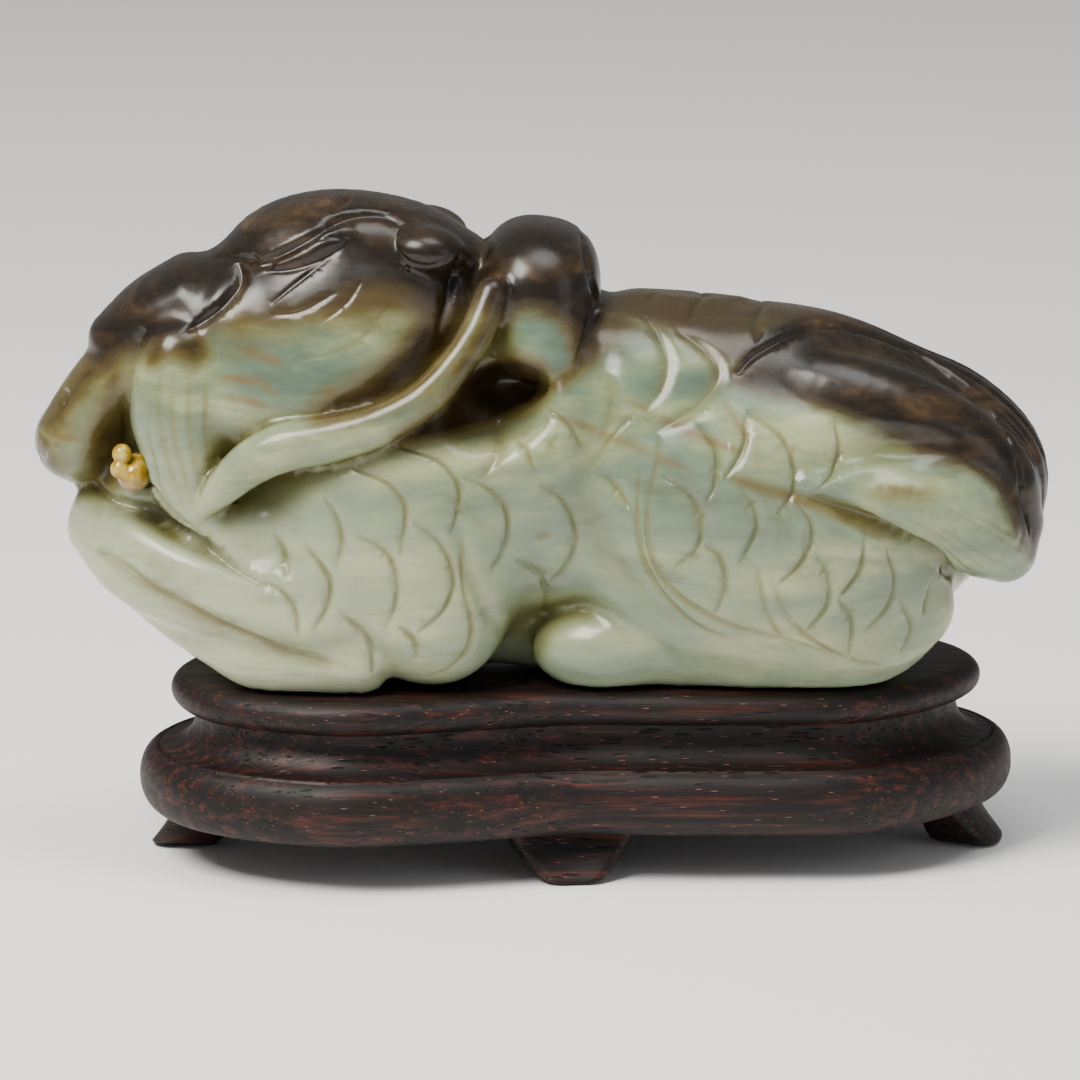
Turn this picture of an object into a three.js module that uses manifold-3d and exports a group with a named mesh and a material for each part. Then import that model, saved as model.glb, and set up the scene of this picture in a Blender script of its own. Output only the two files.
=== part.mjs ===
// A recumbent jade qilin, head towards -X, resting on its fitted rosewood stand.
// Millimetres, +Z up. The origin is the middle of the floor under the whole piece.
import * as THREE from "three";
import { mergeVertices } from "three/addons/utils/BufferGeometryUtils.js";
import Module from "manifold-3d";

const wasm = await Module();
wasm.setup();

// Driving dimensions of the carving
const figureLength = 100;
const restGap = 0.3; // between the carving's flattened underside and the wood

// Driving dimensions of the stand
const standHeight = 18.3; // floor to the top the carving lies on
const footHeight = 4.7;
const topPlateLength = 80.2;
const topPlateDepth = 33.6;
const topPlateShift = 3.7; // the plate reaches further under the haunch than under the head
const topRollHeight = 3.4;
const topRollReach = 1.7; // how far the roll's top edge is rounded off
const waistInset = 2.4;
const waistSweep = 3; // how far the waist's hollow sweeps out over the lower plate
const waistSweepHeight = 3.2;
const lowerPlateReach = 3.2; // beyond the top plate, all round
const lowerPlateHeight = 6.3;
const rollRim = 0.8; // of level wood inside a roll
const lowerRollReach = 1.9; // how far the lower plate's edge is rounded off
const sideFootOffset = 3.6; // the side feet stand a little towards the tail
const endFootOffset = 2.5; // the end feet stand a little towards the back
const footToeReach = 2.6; // beyond the top plate's edge
const footWidth = 13.6;
const footToeWidth = 5.2;
const footSweep = 0.65; // below 1, the sides sweep out close to the sole
const footDepth = 4.6;
const footSink = 1; // into the plate, so that the two are one block of wood
const footToeCorner = 1.4;
const footHeelCorner = 0.7;
const footHeelReach = 1; // how far the heel follows the toe outwards
const footTuck = 0.6; // the foot meets the underside this far inside the top plate's edge

// Driving dimensions of the resin in the mouth
const beadDiameter = 1.8;
const resinGap = 0.5; // the socket's clearance around the resin

// Mesh fineness
const carvingCell = 1.35; // in hundredths of the figure's length
const carvingTriangles = 7600;
const resinCell = 0.4;
const resinTriangles = 220;
const leastTurn = 0.3; // cosine of the most that a merged triangle may turn
const flatWithin = 0.3; // vertices this near the resting plane lie on it
const outlineSteps = 52;
const rollSteps = 5;
const joinDepth = 0.05;

// The carving is drawn in hundredths of its own length, with z from its resting plane.
const share = figureLength / 100;

function softMin(a, b, width) {
  const near = Math.max(width - Math.abs(a - b), 0) / width;
  return Math.min(a, b) - (near * near * width) / 4;
}

function softMax(a, b, width) {
  return -softMin(-a, -b, width);
}

// An egg-shaped mass. Tilt lifts its +X end, and a power over 2 squares it off a little.
function egg(centre, radii, tilt = 0, power = 2) {
  const angle = THREE.MathUtils.degToRad(tilt);
  const cosine = Math.cos(angle);
  const sine = Math.sin(angle);
  return (x, y, z) => {
    const dx = x - centre[0];
    const dz = z - centre[2];
    const a = Math.abs((cosine * dx + sine * dz) / radii[0]);
    const b = Math.abs((y - centre[1]) / radii[1]);
    const c = Math.abs((cosine * dz - sine * dx) / radii[2]);
    const level = Math.max((a ** power + b ** power + c ** power) ** (1 / power), 1e-6);
    const slope = Math.hypot(
      (a / level) ** (power - 1) / radii[0],
      (b / level) ** (power - 1) / radii[1],
      (c / level) ** (power - 1) / radii[2],
    );
    return (level - 1) / slope;
  };
}

// A rounded roll along a smooth path of points [x, y, z, radius]. Flat widens it across y.
function roll(points, flat = 1) {
  const middle = new THREE.CatmullRomCurve3(points.map(([x, y, z]) => new THREE.Vector3(x, y, z)));
  const thickness = new THREE.SplineCurve(points.map((point, i) => new THREE.Vector2(i, point[3])));
  const count = (points.length - 1) * rollSteps;
  const path = [];
  for (let i = 0; i <= count; i++) {
    path.push({ at: middle.getPoint(i / count), radius: thickness.getPoint(i / count).y });
  }
  return (x, y, z) => {
    let nearest = Infinity;
    for (let i = 0; i < count; i++) {
      const a = path[i];
      const b = path[i + 1];
      const ux = b.at.x - a.at.x;
      const uy = b.at.y - a.at.y;
      const uz = b.at.z - a.at.z;
      const along = (x - a.at.x) * ux + (y - a.at.y) * uy + (z - a.at.z) * uz;
      const t = THREE.MathUtils.clamp(along / (ux * ux + uy * uy + uz * uz), 0, 1);
      const away = Math.hypot(x - a.at.x - t * ux, (y - a.at.y - t * uy) / flat, z - a.at.z - t * uz);
      nearest = Math.min(nearest, away - a.radius - t * (b.radius - a.radius));
    }
    return nearest;
  };
}

// The carving as one field, negative inside. Its left and right sides mirror each other.
const trunk = [
  { form: egg([2, 0, 15.5], [14, 12, 10], 0, 2.2), blend: 4 },
  { form: egg([-13, 0, 18], [17, 12.5, 14], 12), blend: 5 },
  { form: egg([28, 0, 19.5], [18, 12, 15], -24), blend: 5 },
  { form: egg([-2, 5.5, 23.5], [11, 8, 8.5]), blend: 3 },
  { form: egg([-17, 0, 7], [17, 9, 9]), blend: 3 },
  { form: egg([-27.5, 6.4, 15], [8.5, 6, 5.5]), blend: 2.5 },
  { form: egg([22, 0, 7], [17, 9, 9]), blend: 3 },
  { form: egg([2, 0, 5], [11, 6.5, 5.5]), blend: 2 },
  { form: roll([[-38, 0, 10.5, 3.2], [-30, 0, 10, 7], [-20, 0, 12, 11]]), blend: 4 },
];
const ribs = egg([8, 0, 21.8], [27, 13, 15.2], -1, 2.2);

const skull = egg([-19.5, 0, 33], [15.5, 12.2, 13.2], 8);
const snout = roll([[-45.6, 0, 22.6, 4], [-42.6, 0, 27.2, 4], [-38, 0, 31.5, 4.6], [-30, 0, 35, 6]], 1.6);
const face = [
  { form: egg([-31, 0, 29], [9.5, 10.6, 10.5]), blend: 4 },
  { form: egg([-23, 6.8, 27.5], [9.5, 6, 7]), blend: 3 },
  { form: snout, blend: 2 },
  { form: roll([[-33, 0, 19, 7], [-41, 0, 15, 4.6]], 1.2), blend: 3 },
];

const upperArm = egg([-14.2, 7.8, 14], [12.6, 8.2, 12.8], 0, 2.2);
const elbow = egg([-10, 9.2, 7.2], [6.4, 6.2, 6.9]);
const chinFold = roll([[-43, 1.5, 14, 3.4], [-39, 6, 11.6, 4.3], [-32, 8.6, 9.6, 5], [-22, 9.6, 8.6, 6]]);
const frontPaw = roll([
  [-40, 2.5, 9.8, 2.8], [-35.2, 5.2, 6.8, 3.2], [-31, 8, 4.6, 3.2], [-27, 10, 3, 3.4], [-18, 11, 2.6, 3.4],
]);
const thigh = egg([21.8, 8, 14.8], [18.2, 8.6, 14.4], -6, 2.3);
const shank = roll([[8, 7.6, 3.4, 3.6], [20, 7.9, 3.6, 4.4], [31.5, 7.3, 5.6, 6], [35.8, 6.8, 7.4, 4.7]]);
const hindFoot = egg([6.6, 7.8, 3.8], [7.4, 5.4, 4.4], 5);

const cheekFlap = roll([
  [-35.2, 7.6, 33, 2.7], [-35.1, 7.4, 28, 4.7], [-34.2, 8, 22, 4.6], [-32.9, 9.8, 17, 2.2],
]);
const mouthRecess = egg([-40.6, 9.7, 21.6], [1.9, 4.2, 4.6], 14);
const nose = roll([[-41.6, 0, 32.8, 2.6], [-38, 0, 35.3, 3.4], [-34.2, 0, 37.2, 3.8]], 2);
const hornCrest = roll([
  [-30, 0, 39.3, 2.2], [-26.5, 0, 42, 3.4], [-21, 0, 43.2, 4], [-13, 0, 42.4, 3.8], [-7.8, 0, 40.6, 2.8],
], 2);
const ear = egg([-10.9, 6, 42.4], [3.8, 3.4, 2.4], -8);

const neckHollow = egg([-4.6, 13, 28], [5, 6.5, 3.6], 15);
const neckDepth = egg([-3, 9.5, 29.4], [4.2, 5.5, 2.6], 22);
const lockHollow = roll([
  [-9, 13, 38, 1.6], [-11, 13, 33.2, 2.2], [-14.6, 13.4, 30, 2], [-19, 13.6, 28.2, 1],
]);
const topknot = egg([-0.4, 0, 36.9], [6.2, 10.2, 7.6], -8, 2.5);
const topknotLobe = egg([0.8, 7, 33.4], [4.6, 4.6, 3.7]);
const maneLock = roll([
  [-33, 11.6, 17.4, 0.7], [-30.8, 12.6, 20.2, 1.7], [-28, 13.1, 22.8, 2.2], [-25, 13.4, 24.4, 2.4],
  [-20, 13.6, 25.4, 2.3], [-15.5, 13.6, 26.8, 2.1], [-11.6, 13.2, 28.9, 1.9], [-8.7, 12.4, 31.7, 1.8],
  [-6.3, 11.2, 35, 1.7], [-4.6, 9.4, 38.8, 1.7],
]);

const tailMiddle = roll(
  [[26, 0, 30.6, 3.5], [34, 0, 27.9, 4.6], [41, 0, 24.6, 4.8], [45, 0, 20, 4.8], [44.6, 0, 14, 4.6]],
  1.5,
);
const tailUpperLobe = roll([
  [20.5, 6.2, 29.4, 1], [24.5, 6.6, 29.2, 3.4], [31, 7.2, 27, 5.2], [38, 7.2, 23.6, 5.6],
  [43.2, 6.6, 20, 5], [45.2, 5.6, 15.5, 4],
]);
const tailLowerLobe = roll([
  [28, 13.5, 20, 0.8], [31.5, 13.5, 19.7, 2.7], [37, 12.4, 18.2, 4.2], [42, 10.6, 15.9, 4.5], [45.2, 8, 13.2, 3.2],
]);

// Two beads in a lump of resin, in the mouth's near corner.
const resinForms = [
  egg([-40.5, -9.6, 23.1], [beadDiameter / 2 / share, beadDiameter / 2 / share, beadDiameter / 2 / share]),
  egg([-40.7, -9.7, 21.6], [beadDiameter / 2 / share, beadDiameter / 2 / share, beadDiameter / 2 / share]),
  egg([-39.4, -8, 20.9], [1.7, 2.6, 1.9], -35),
];
const resin = (x, y, z) => resinForms.reduce((body, form) => softMin(body, form(x, y, z), 0.3), 10);

function carving(x, side, z) {
  const y = Math.abs(side);
  const add = (body, form, blend) => softMin(body, form(x, y, z), blend);
  const cut = (body, form, blend) => softMax(body, -form(x, y, z), blend);
  let body = ribs(x, y, z);
  for (const { form, blend } of trunk) body = add(body, form, blend);
  let head = skull(x, y, z);
  for (const { form, blend } of face) head = add(head, form, blend);
  body = softMin(body, head, 3);
  body = softMin(body, add(upperArm(x, y, z), elbow, 3), 2.2);
  body = add(body, chinFold, 1.5);
  body = add(body, frontPaw, 1);
  body = add(body, thigh, 2);
  body = add(body, shank, 1.5);
  body = add(body, hindFoot, 1.2);
  body = add(body, cheekFlap, 1.2);
  body = cut(body, mouthRecess, 1.2);
  body = add(body, nose, 0.8);
  body = add(body, hornCrest, 1);
  body = add(body, ear, 0.6);
  body = cut(body, neckHollow, 3);
  body = cut(body, neckDepth, 0.8);
  body = cut(body, lockHollow, 1);
  body = softMin(body, add(topknot(x, y, z), topknotLobe, 2), 0.8);
  body = add(body, maneLock, 0.6);
  let tail = add(tailMiddle(x, y, z), tailUpperLobe, 0.8);
  tail = add(tail, tailLowerLobe, 1.2);
  body = softMin(body, tail, 0.8);
  return Math.max(body, resinGap / share - resin(x, side, z), -z);
}

// A closed surface around a field's inside, one vertex in each grid cell that the surface crosses.
function skinOf(field, low, high, cell) {
  const size = low.map((start, axis) => Math.ceil((high[axis] - start) / cell) + 1);
  const index = (i, j, k) => (i * size[1] + j) * size[2] + k;
  const level = new Float64Array(size[0] * size[1] * size[2]);
  for (let i = 0; i < size[0]; i++)
    for (let j = 0; j < size[1]; j++)
      for (let k = 0; k < size[2]; k++)
        level[index(i, j, k)] = field(low[0] + i * cell, low[1] + j * cell, low[2] + k * cell);

  // Corners that touch only across a square or a cube are joined, so that no two sheets share an edge.
  const squares = [[[0, 0, 0], [0, 1, 0], [0, 1, 1], [0, 0, 1]]];
  squares.push(squares[0].map(([a, b, c]) => [c, a, b]), squares[0].map(([a, b, c]) => [b, c, a]));
  let joined = true;
  while (joined) {
    joined = false;
    for (let i = 0; i < size[0] - 1; i++)
      for (let j = 0; j < size[1] - 1; j++)
        for (let k = 0; k < size[2] - 1; k++)
          for (const square of squares) {
            const ring = square.map(([a, b, c]) => index(i + a, j + b, k + c));
            const filled = ring.map((key) => level[key] < 0);
            if (filled[0] !== filled[2] || filled[1] !== filled[3] || filled[0] === filled[1]) continue;
            const open = filled[0] ? 1 : 0;
            const closer = level[ring[open]] < level[ring[open + 2]] ? ring[open] : ring[open + 2];
            level[closer] = -joinDepth;
            joined = true;
          }
  }

  const points = [];
  const pointIn = new Map();
  const pointOf = (i, j, k) => {
    const key = index(i, j, k);
    if (!pointIn.has(key)) {
      const sum = new THREE.Vector3();
      let crossings = 0;
      for (let corner = 0; corner < 8; corner++)
        for (let axis = 0; axis < 3; axis++) {
          if (corner & (1 << axis)) continue;
          const a = [corner & 1, (corner >> 1) & 1, (corner >> 2) & 1];
          const b = a.slice();
          b[axis] = 1;
          const atA = level[index(i + a[0], j + a[1], k + a[2])];
          const atB = level[index(i + b[0], j + b[1], k + b[2])];
          if (atA < 0 === atB < 0) continue;
          a[axis] = atA / (atA - atB);
          sum.add(new THREE.Vector3(i + a[0], j + a[1], k + a[2]));
          crossings++;
        }
      pointIn.set(key, points.length);
      points.push(sum.divideScalar(crossings).multiplyScalar(cell).add(new THREE.Vector3(...low)));
    }
    return pointIn.get(key);
  };

  const triangles = [];
  const around = [[[0, 0, 0], [0, -1, 0], [0, -1, -1], [0, 0, -1]]];
  around.push(around[0].map(([a, b, c]) => [c, a, b]));
  around.push(around[0].map(([a, b, c]) => [b, c, a]));
  for (let i = 1; i < size[0] - 1; i++)
    for (let j = 1; j < size[1] - 1; j++)
      for (let k = 1; k < size[2] - 1; k++)
        for (let axis = 0; axis < 3; axis++) {
          const here = level[index(i, j, k)] < 0;
          const next = level[index(i + (axis === 0), j + (axis === 1), k + (axis === 2))] < 0;
          if (here === next) continue;
          const ring = around[axis].map(([a, b, c]) => pointOf(i + a, j + b, k + c));
          if (!here) ring.reverse();
          const [p, q, r, s] = ring;
          if (points[p].distanceTo(points[r]) < points[q].distanceTo(points[s])) {
            triangles.push([p, q, r], [p, r, s]);
          } else {
            triangles.push([p, q, s], [q, r, s]);
          }
        }
  return { points, triangles };
}

// The plane of a triangle as the ten numbers of its squared distance, weighed by its area.
function planeError(a, b, c) {
  const normal = new THREE.Vector3().crossVectors(b.clone().sub(a), c.clone().sub(a));
  const area = normal.length() / 2;
  normal.normalize();
  const plane = [normal.x, normal.y, normal.z, -normal.dot(a)];
  const error = [];
  for (let i = 0; i < 4; i++) for (let j = i; j < 4; j++) error.push(area * plane[i] * plane[j]);
  return error;
}

function errorAt(error, { x, y, z }) {
  const at = [x, y, z, 1];
  let sum = 0;
  let next = 0;
  for (let i = 0; i < 4; i++)
    for (let j = i; j < 4; j++) sum += error[next++] * at[i] * at[j] * (i === j ? 1 : 2);
  return sum;
}

// Merge the ends of the edges that shape the surface least, until only the wanted triangles are left.
function thin({ points, triangles }, wanted) {
  const facesOf = points.map(() => new Set());
  const errors = points.map(() => new Array(10).fill(0));
  triangles.forEach((triangle, face) => {
    const error = planeError(...triangle.map((i) => points[i]));
    for (const i of triangle) {
      facesOf[i].add(face);
      errors[i] = errors[i].map((value, term) => value + error[term]);
    }
  });
  const neighbours = (i) => {
    const corners = [...facesOf[i]].flatMap((face) => triangles[face]);
    return new Set(corners.filter((j) => j !== i));
  };
  const lengthWeight = 0.002;
  const version = points.map(() => 0);
  const middleOf = (i, j) => points[i].clone().lerp(points[j], 0.5);
  const edge = (i, j) => {
    const middle = middleOf(i, j);
    const bend = errorAt(errors[i], middle) + errorAt(errors[j], middle);
    const cost = bend + lengthWeight * points[i].distanceToSquared(points[j]);
    return { i, j, cost, at: version[i] + version[j] };
  };
  const turnsOver = (i, j, middle) =>
    [...facesOf[i]].some((face) => {
      const triangle = triangles[face];
      if (triangle.includes(j)) return false;
      const before = new THREE.Triangle(...triangle.map((k) => points[k])).getNormal(new THREE.Vector3());
      const after = new THREE.Triangle(...triangle.map((k) => (k === i ? middle : points[k])));
      return before.dot(after.getNormal(new THREE.Vector3())) < leastTurn;
    });
  let left = triangles.length;
  while (left > wanted) {
    const edges = [];
    points.forEach((_, i) => {
      if (facesOf[i].size) for (const j of neighbours(i)) if (i < j) edges.push(edge(i, j));
    });
    edges.sort((a, b) => a.cost - b.cost);
    for (const { i, j, at } of edges.slice(0, Math.ceil(edges.length / 4))) {
      if (left <= wanted) break;
      if (at !== version[i] + version[j] || !facesOf[i].size || !facesOf[j].size) continue;
      const around = neighbours(i);
      const shared = [...neighbours(j)].filter((k) => around.has(k));
      const middle = middleOf(i, j);
      if (shared.length !== 2 || turnsOver(i, j, middle) || turnsOver(j, i, middle)) continue;
      points[i].copy(middle);
      errors[i] = errors[i].map((value, term) => value + errors[j][term]);
      for (const face of [...facesOf[j]]) {
        if (triangles[face].includes(i)) {
          for (const k of triangles[face]) facesOf[k].delete(face);
          left--;
        } else {
          triangles[face] = triangles[face].map((k) => (k === j ? i : k));
          facesOf[i].add(face);
        }
      }
      facesOf[j].clear();
      for (const k of around) version[k]++;
      version[i]++;
    }
  }
  const kept = new Map();
  const thinned = { points: [], triangles: [] };
  triangles.forEach((triangle, face) => {
    if (!facesOf[triangle[0]].has(face)) return;
    for (const i of triangle)
      if (!kept.has(i)) kept.set(i, thinned.points.push(points[i]) - 1);
    thinned.triangles.push(triangle.map((i) => kept.get(i)));
  });
  return thinned;
}

// Even out the vertices along the surface, and draw each one back onto it.
function settle({ points, triangles }, field, rounds, evening) {
  const step = 0.05;
  for (let round = 0; round < rounds; round++) {
    const sums = points.map(() => new THREE.Vector4(0, 0, 0, 0));
    for (const triangle of triangles)
      for (let i = 0; i < 3; i++) {
        const from = points[triangle[(i + 1) % 3]];
        sums[triangle[i]].add(new THREE.Vector4(from.x, from.y, from.z, 1));
      }
    points.forEach((point, i) => {
      const { x, y, z, w } = sums[i];
      point.lerp(new THREE.Vector3(x / w, y / w, z / w), evening);
      const value = field(point.x, point.y, point.z);
      const slope = new THREE.Vector3(
        field(point.x + step, point.y, point.z) - value,
        field(point.x, point.y + step, point.z) - value,
        field(point.x, point.y, point.z + step) - value,
      ).divideScalar(step);
      const move = THREE.MathUtils.clamp(value / Math.max(slope.lengthSq(), 0.2), -1, 1);
      point.addScaledVector(slope, -move);
    });
  }
}

function geometryOf(points, triangles) {
  const geometry = new THREE.BufferGeometry();
  geometry.setAttribute("position", new THREE.Float32BufferAttribute(points.flatMap((p) => p.toArray()), 3));
  geometry.setIndex(triangles.flat());
  geometry.computeVertexNormals();
  return geometry;
}

// A field's surface as a solid of so many triangles, at its real size above the stand.
function bodyFrom(field, low, high, cell, wanted) {
  const fine = skinOf(field, low, high, cell);
  settle(fine, field, 2, 0.5);
  const skin = thin(fine, wanted);
  settle(skin, field, 1, 0.1);
  for (const point of skin.points) {
    if (point.z < flatWithin) point.z = 0;
    point.multiplyScalar(share);
    point.z += standHeight + restGap;
  }
  return geometryOf(skin.points, skin.triangles);
}

function makeFigure() {
  return bodyFrom(carving, [-53, -19, -2.5], [53, 19, 51], carvingCell, carvingTriangles);
}

function makeBeads() {
  return bodyFrom(resin, [-44, -13, 17], [-35, -4, 26], resinCell, resinTriangles);
}

// The stand's plan: a lobed pebble outline, in shares of half the plate's length and depth.
const planPoints = [
  [-1, -0.12], [-0.9, -0.68], [-0.6, -1.02], [-0.3, -0.92], [-0.03, -0.76], [0.33, -0.76], [0.68, -0.7],
  [0.9, -0.3], [1, 0.25], [0.9, 0.78], [0.6, 1], [0.22, 0.92], [-0.1, 0.88], [-0.4, 0.92], [-0.72, 0.86],
  [-0.94, 0.4],
];
const planCorners = planPoints.map(([x, y]) => {
  return new THREE.Vector3(topPlateShift + (x * topPlateLength) / 2, (y * topPlateDepth) / 2, 0);
});
const plan = new THREE.CatmullRomCurve3(planCorners, true);

// A point of the plan's outline, moved outwards.
function planPoint(t, out) {
  const wrapped = THREE.MathUtils.euclideanModulo(t, 1);
  const at = plan.getPointAt(wrapped);
  const along = plan.getTangentAt(wrapped);
  const outward = new THREE.Vector3(along.y, -along.x, 0);
  return at.addScaledVector(outward, out);
}

// The moulding from the underside to the top, as [reach beyond the top plate, height].
function mouldingProfile() {
  const profile = [];
  const addRoll = (reach, depth, base, height, first) => {
    for (let i = first; i <= 2; i++) {
      const angle = (i * Math.PI) / 5;
      profile.push([
        reach - depth + depth * Math.cos(angle),
        base + (height / 2) * (1 + Math.sin(angle)),
      ]);
    }
  };
  const shoulder = footHeight + lowerPlateHeight;
  profile.push([lowerPlateReach - lowerRollReach - rollRim, footHeight]);
  addRoll(lowerPlateReach, lowerRollReach, footHeight, lowerPlateHeight, -2);
  for (let i = 0; i <= 3; i++) {
    const angle = (i * Math.PI) / 6;
    profile.push([
      waistSweep * (1 - Math.sin(angle)) - waistInset,
      shoulder + waistSweepHeight * (1 - Math.cos(angle)),
    ]);
  }
  addRoll(0, topRollReach, standHeight - topRollHeight, topRollHeight, -1);
  profile.push([-topRollReach - rollRim, standHeight]);
  return profile;
}

function solidFrom(geometry) {
  const bare = geometry.clone();
  bare.deleteAttribute("normal");
  bare.deleteAttribute("uv");
  const merged = mergeVertices(bare, 1e-4);
  return new wasm.Manifold(
    new wasm.Mesh({
      numProp: 3,
      vertProperties: merged.attributes.position.array,
      triVerts: new Uint32Array(merged.index.array),
    }),
  );
}

function geometryFrom(solid) {
  const mesh = solid.getMesh();
  const geometry = new THREE.BufferGeometry();
  geometry.setAttribute("position", new THREE.BufferAttribute(mesh.vertProperties, 3));
  geometry.setIndex(new THREE.BufferAttribute(mesh.triVerts, 1));
  geometry.computeVertexNormals();
  return geometry;
}

// Rings of equal count joined into one closed skin, bottom ring first.
function loft(rings) {
  const points = rings.flat();
  const triangles = [];
  const count = rings[0].length;
  for (let ring = 0; ring + 1 < rings.length; ring++)
    for (let i = 0; i < count; i++) {
      const a = ring * count + i;
      const b = ring * count + ((i + 1) % count);
      triangles.push([a, b, b + count], [a, b + count, a + count]);
    }
  for (const [ring, facesUp] of [[0, false], [rings.length - 1, true]]) {
    const middle = new THREE.Vector3();
    for (const point of rings[ring]) middle.addScaledVector(point, 1 / count);
    const hub = points.push(middle) - 1;
    for (let i = 0; i < count; i++) {
      const a = ring * count + i;
      const b = ring * count + ((i + 1) % count);
      triangles.push(facesUp ? [a, b, hub] : [b, a, hub]);
    }
  }
  return geometryOf(points, triangles);
}

// Where along the outline the plate's edge comes nearest to a point of the plan.
function edgeNear(x, y) {
  const target = new THREE.Vector3(x, y, 0);
  const tries = 400;
  let best = 0;
  let least = Infinity;
  for (let i = 0; i < tries; i++) {
    const away = plan.getPointAt(i / tries).distanceTo(target);
    if (away < least) best = i / tries;
    least = Math.min(away, least);
  }
  return best;
}

// A bracket foot that follows the plan's edge around t, curving out to a flat toe on the floor.
function makeFoot(t) {
  const levels = 5;
  const rings = [];
  for (let level = 0; level <= levels; level++) {
    const rise = level / levels;
    const flare = (1 - rise) ** 1.5;
    const outer = THREE.MathUtils.lerp(-footTuck, footToeReach, flare);
    const inner = footHeelReach * flare - footTuck - footDepth;
    const half = THREE.MathUtils.lerp(footToeWidth, footWidth, rise ** footSweep) / 2;
    const toe = outer - footToeCorner;
    const heel = inner + footHeelCorner;
    const corners = [
      [-half, toe], [footToeCorner - half, outer], [half - footToeCorner, outer], [half, toe],
      [half, heel], [half - footHeelCorner, inner], [footHeelCorner - half, inner], [-half, heel],
    ];
    const height = rise * (footHeight + footSink);
    rings.push(corners.map(([side, out]) => planPoint(t + side / plan.getLength(), out).setZ(height)));
  }
  return loft(rings);
}

function makeStand() {
  const rings = mouldingProfile().map(([out, height]) => {
    const ring = [];
    for (let i = 0; i < outlineSteps; i++) ring.push(planPoint(i / outlineSteps, out).setZ(height));
    return ring;
  });
  let stand = solidFrom(loft(rings));
  const footPlaces = [
    [topPlateShift - topPlateLength / 2, endFootOffset], [sideFootOffset, -topPlateDepth / 2],
    [topPlateShift + topPlateLength / 2, endFootOffset], [sideFootOffset, topPlateDepth / 2],
  ];
  for (const [x, y] of footPlaces) stand = stand.add(solidFrom(makeFoot(edgeNear(x, y))));
  return geometryFrom(stand);
}

const jade = new THREE.MeshStandardMaterial({ color: "#b4bfa9", roughness: 0.25, metalness: 0 });
const rosewood = new THREE.MeshStandardMaterial({ color: "#35201c", roughness: 0.45, metalness: 0 });
const goldenResin = new THREE.MeshStandardMaterial({ color: "#b8993f", roughness: 0.25, metalness: 0 });

function named(name, geometry, material) {
  const mesh = new THREE.Mesh(geometry, material);
  mesh.name = name;
  return mesh;
}

const piece = new THREE.Group();
piece.add(named("qilin_figure", makeFigure(), jade));
piece.add(named("mouth_beads", makeBeads(), goldenResin));
piece.add(named("wood_stand", makeStand(), rosewood));

const middle = new THREE.Box3().setFromObject(piece).getCenter(new THREE.Vector3());
piece.position.set(-middle.x, -middle.y, 0);

export default piece;
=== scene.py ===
import math

import bmesh
import bpy
import numpy as np
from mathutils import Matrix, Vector
from mathutils.kdtree import KDTree


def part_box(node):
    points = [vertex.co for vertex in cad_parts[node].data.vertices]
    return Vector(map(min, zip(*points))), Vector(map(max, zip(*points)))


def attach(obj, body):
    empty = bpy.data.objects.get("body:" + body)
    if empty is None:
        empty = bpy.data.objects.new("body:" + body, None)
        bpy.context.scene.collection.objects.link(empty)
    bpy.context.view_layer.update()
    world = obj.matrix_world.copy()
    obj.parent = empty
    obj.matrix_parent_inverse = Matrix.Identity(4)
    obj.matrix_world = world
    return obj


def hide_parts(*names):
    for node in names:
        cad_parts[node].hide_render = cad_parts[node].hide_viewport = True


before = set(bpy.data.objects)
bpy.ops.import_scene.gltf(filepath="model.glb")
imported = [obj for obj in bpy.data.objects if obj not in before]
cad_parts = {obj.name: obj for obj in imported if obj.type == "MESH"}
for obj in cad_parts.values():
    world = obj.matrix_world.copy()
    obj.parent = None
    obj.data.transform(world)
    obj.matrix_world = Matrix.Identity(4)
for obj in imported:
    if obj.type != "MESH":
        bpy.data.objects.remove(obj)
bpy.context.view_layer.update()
bpy.ops.object.select_all(action="DESELECT")

millimetre = 0.001

# Where the carving's own axes lie in the frame
figureLow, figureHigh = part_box("qilin_figure")
noseReach, tailReach = 49.59, 49.92  # from the carving's middle, in hundredths of its length
share = (figureHigh.x - figureLow.x) / (noseReach + tailReach)
carvingOrigin = np.array([
    figureLow.x + noseReach * share,
    (figureLow.y + figureHigh.y) / 2,
    figureLow.z,
])

photoView = {
    "frame": 1080,  # pixels each way
    "elevation": math.radians(12.5),
    "distance": 700,  # hundredths of the figure's length
    "aimHeight": 12.4,  # above the plane the figure rests on
    "pixelsPerUnit": 10.15,  # at the aim
}
focalPixels = photoView["pixelsPerUnit"] * photoView["distance"]
forward = np.array([0, math.cos(photoView["elevation"]), -math.sin(photoView["elevation"])])
upward = np.array([0, math.sin(photoView["elevation"]), math.cos(photoView["elevation"])])
eye = np.array([0, 0, photoView["aimHeight"]]) - forward * photoView["distance"]


def pixelOf(points):
    # where points of the carving fall in the picture
    away = points - eye
    depth = away @ forward
    half = photoView["frame"] / 2
    across, down = focalPixels * away[:, 0] / depth, -focalPixels * (away @ upward) / depth
    return np.stack([half + across, half + down], 1)


# Forms as distance fields, negative inside


def softMin(a, b, width):
    near = np.maximum(width - np.abs(a - b), 0) / width
    return np.minimum(a, b) - near * near * width / 4


def softMax(a, b, width):
    return -softMin(-a, -b, width)


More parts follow.
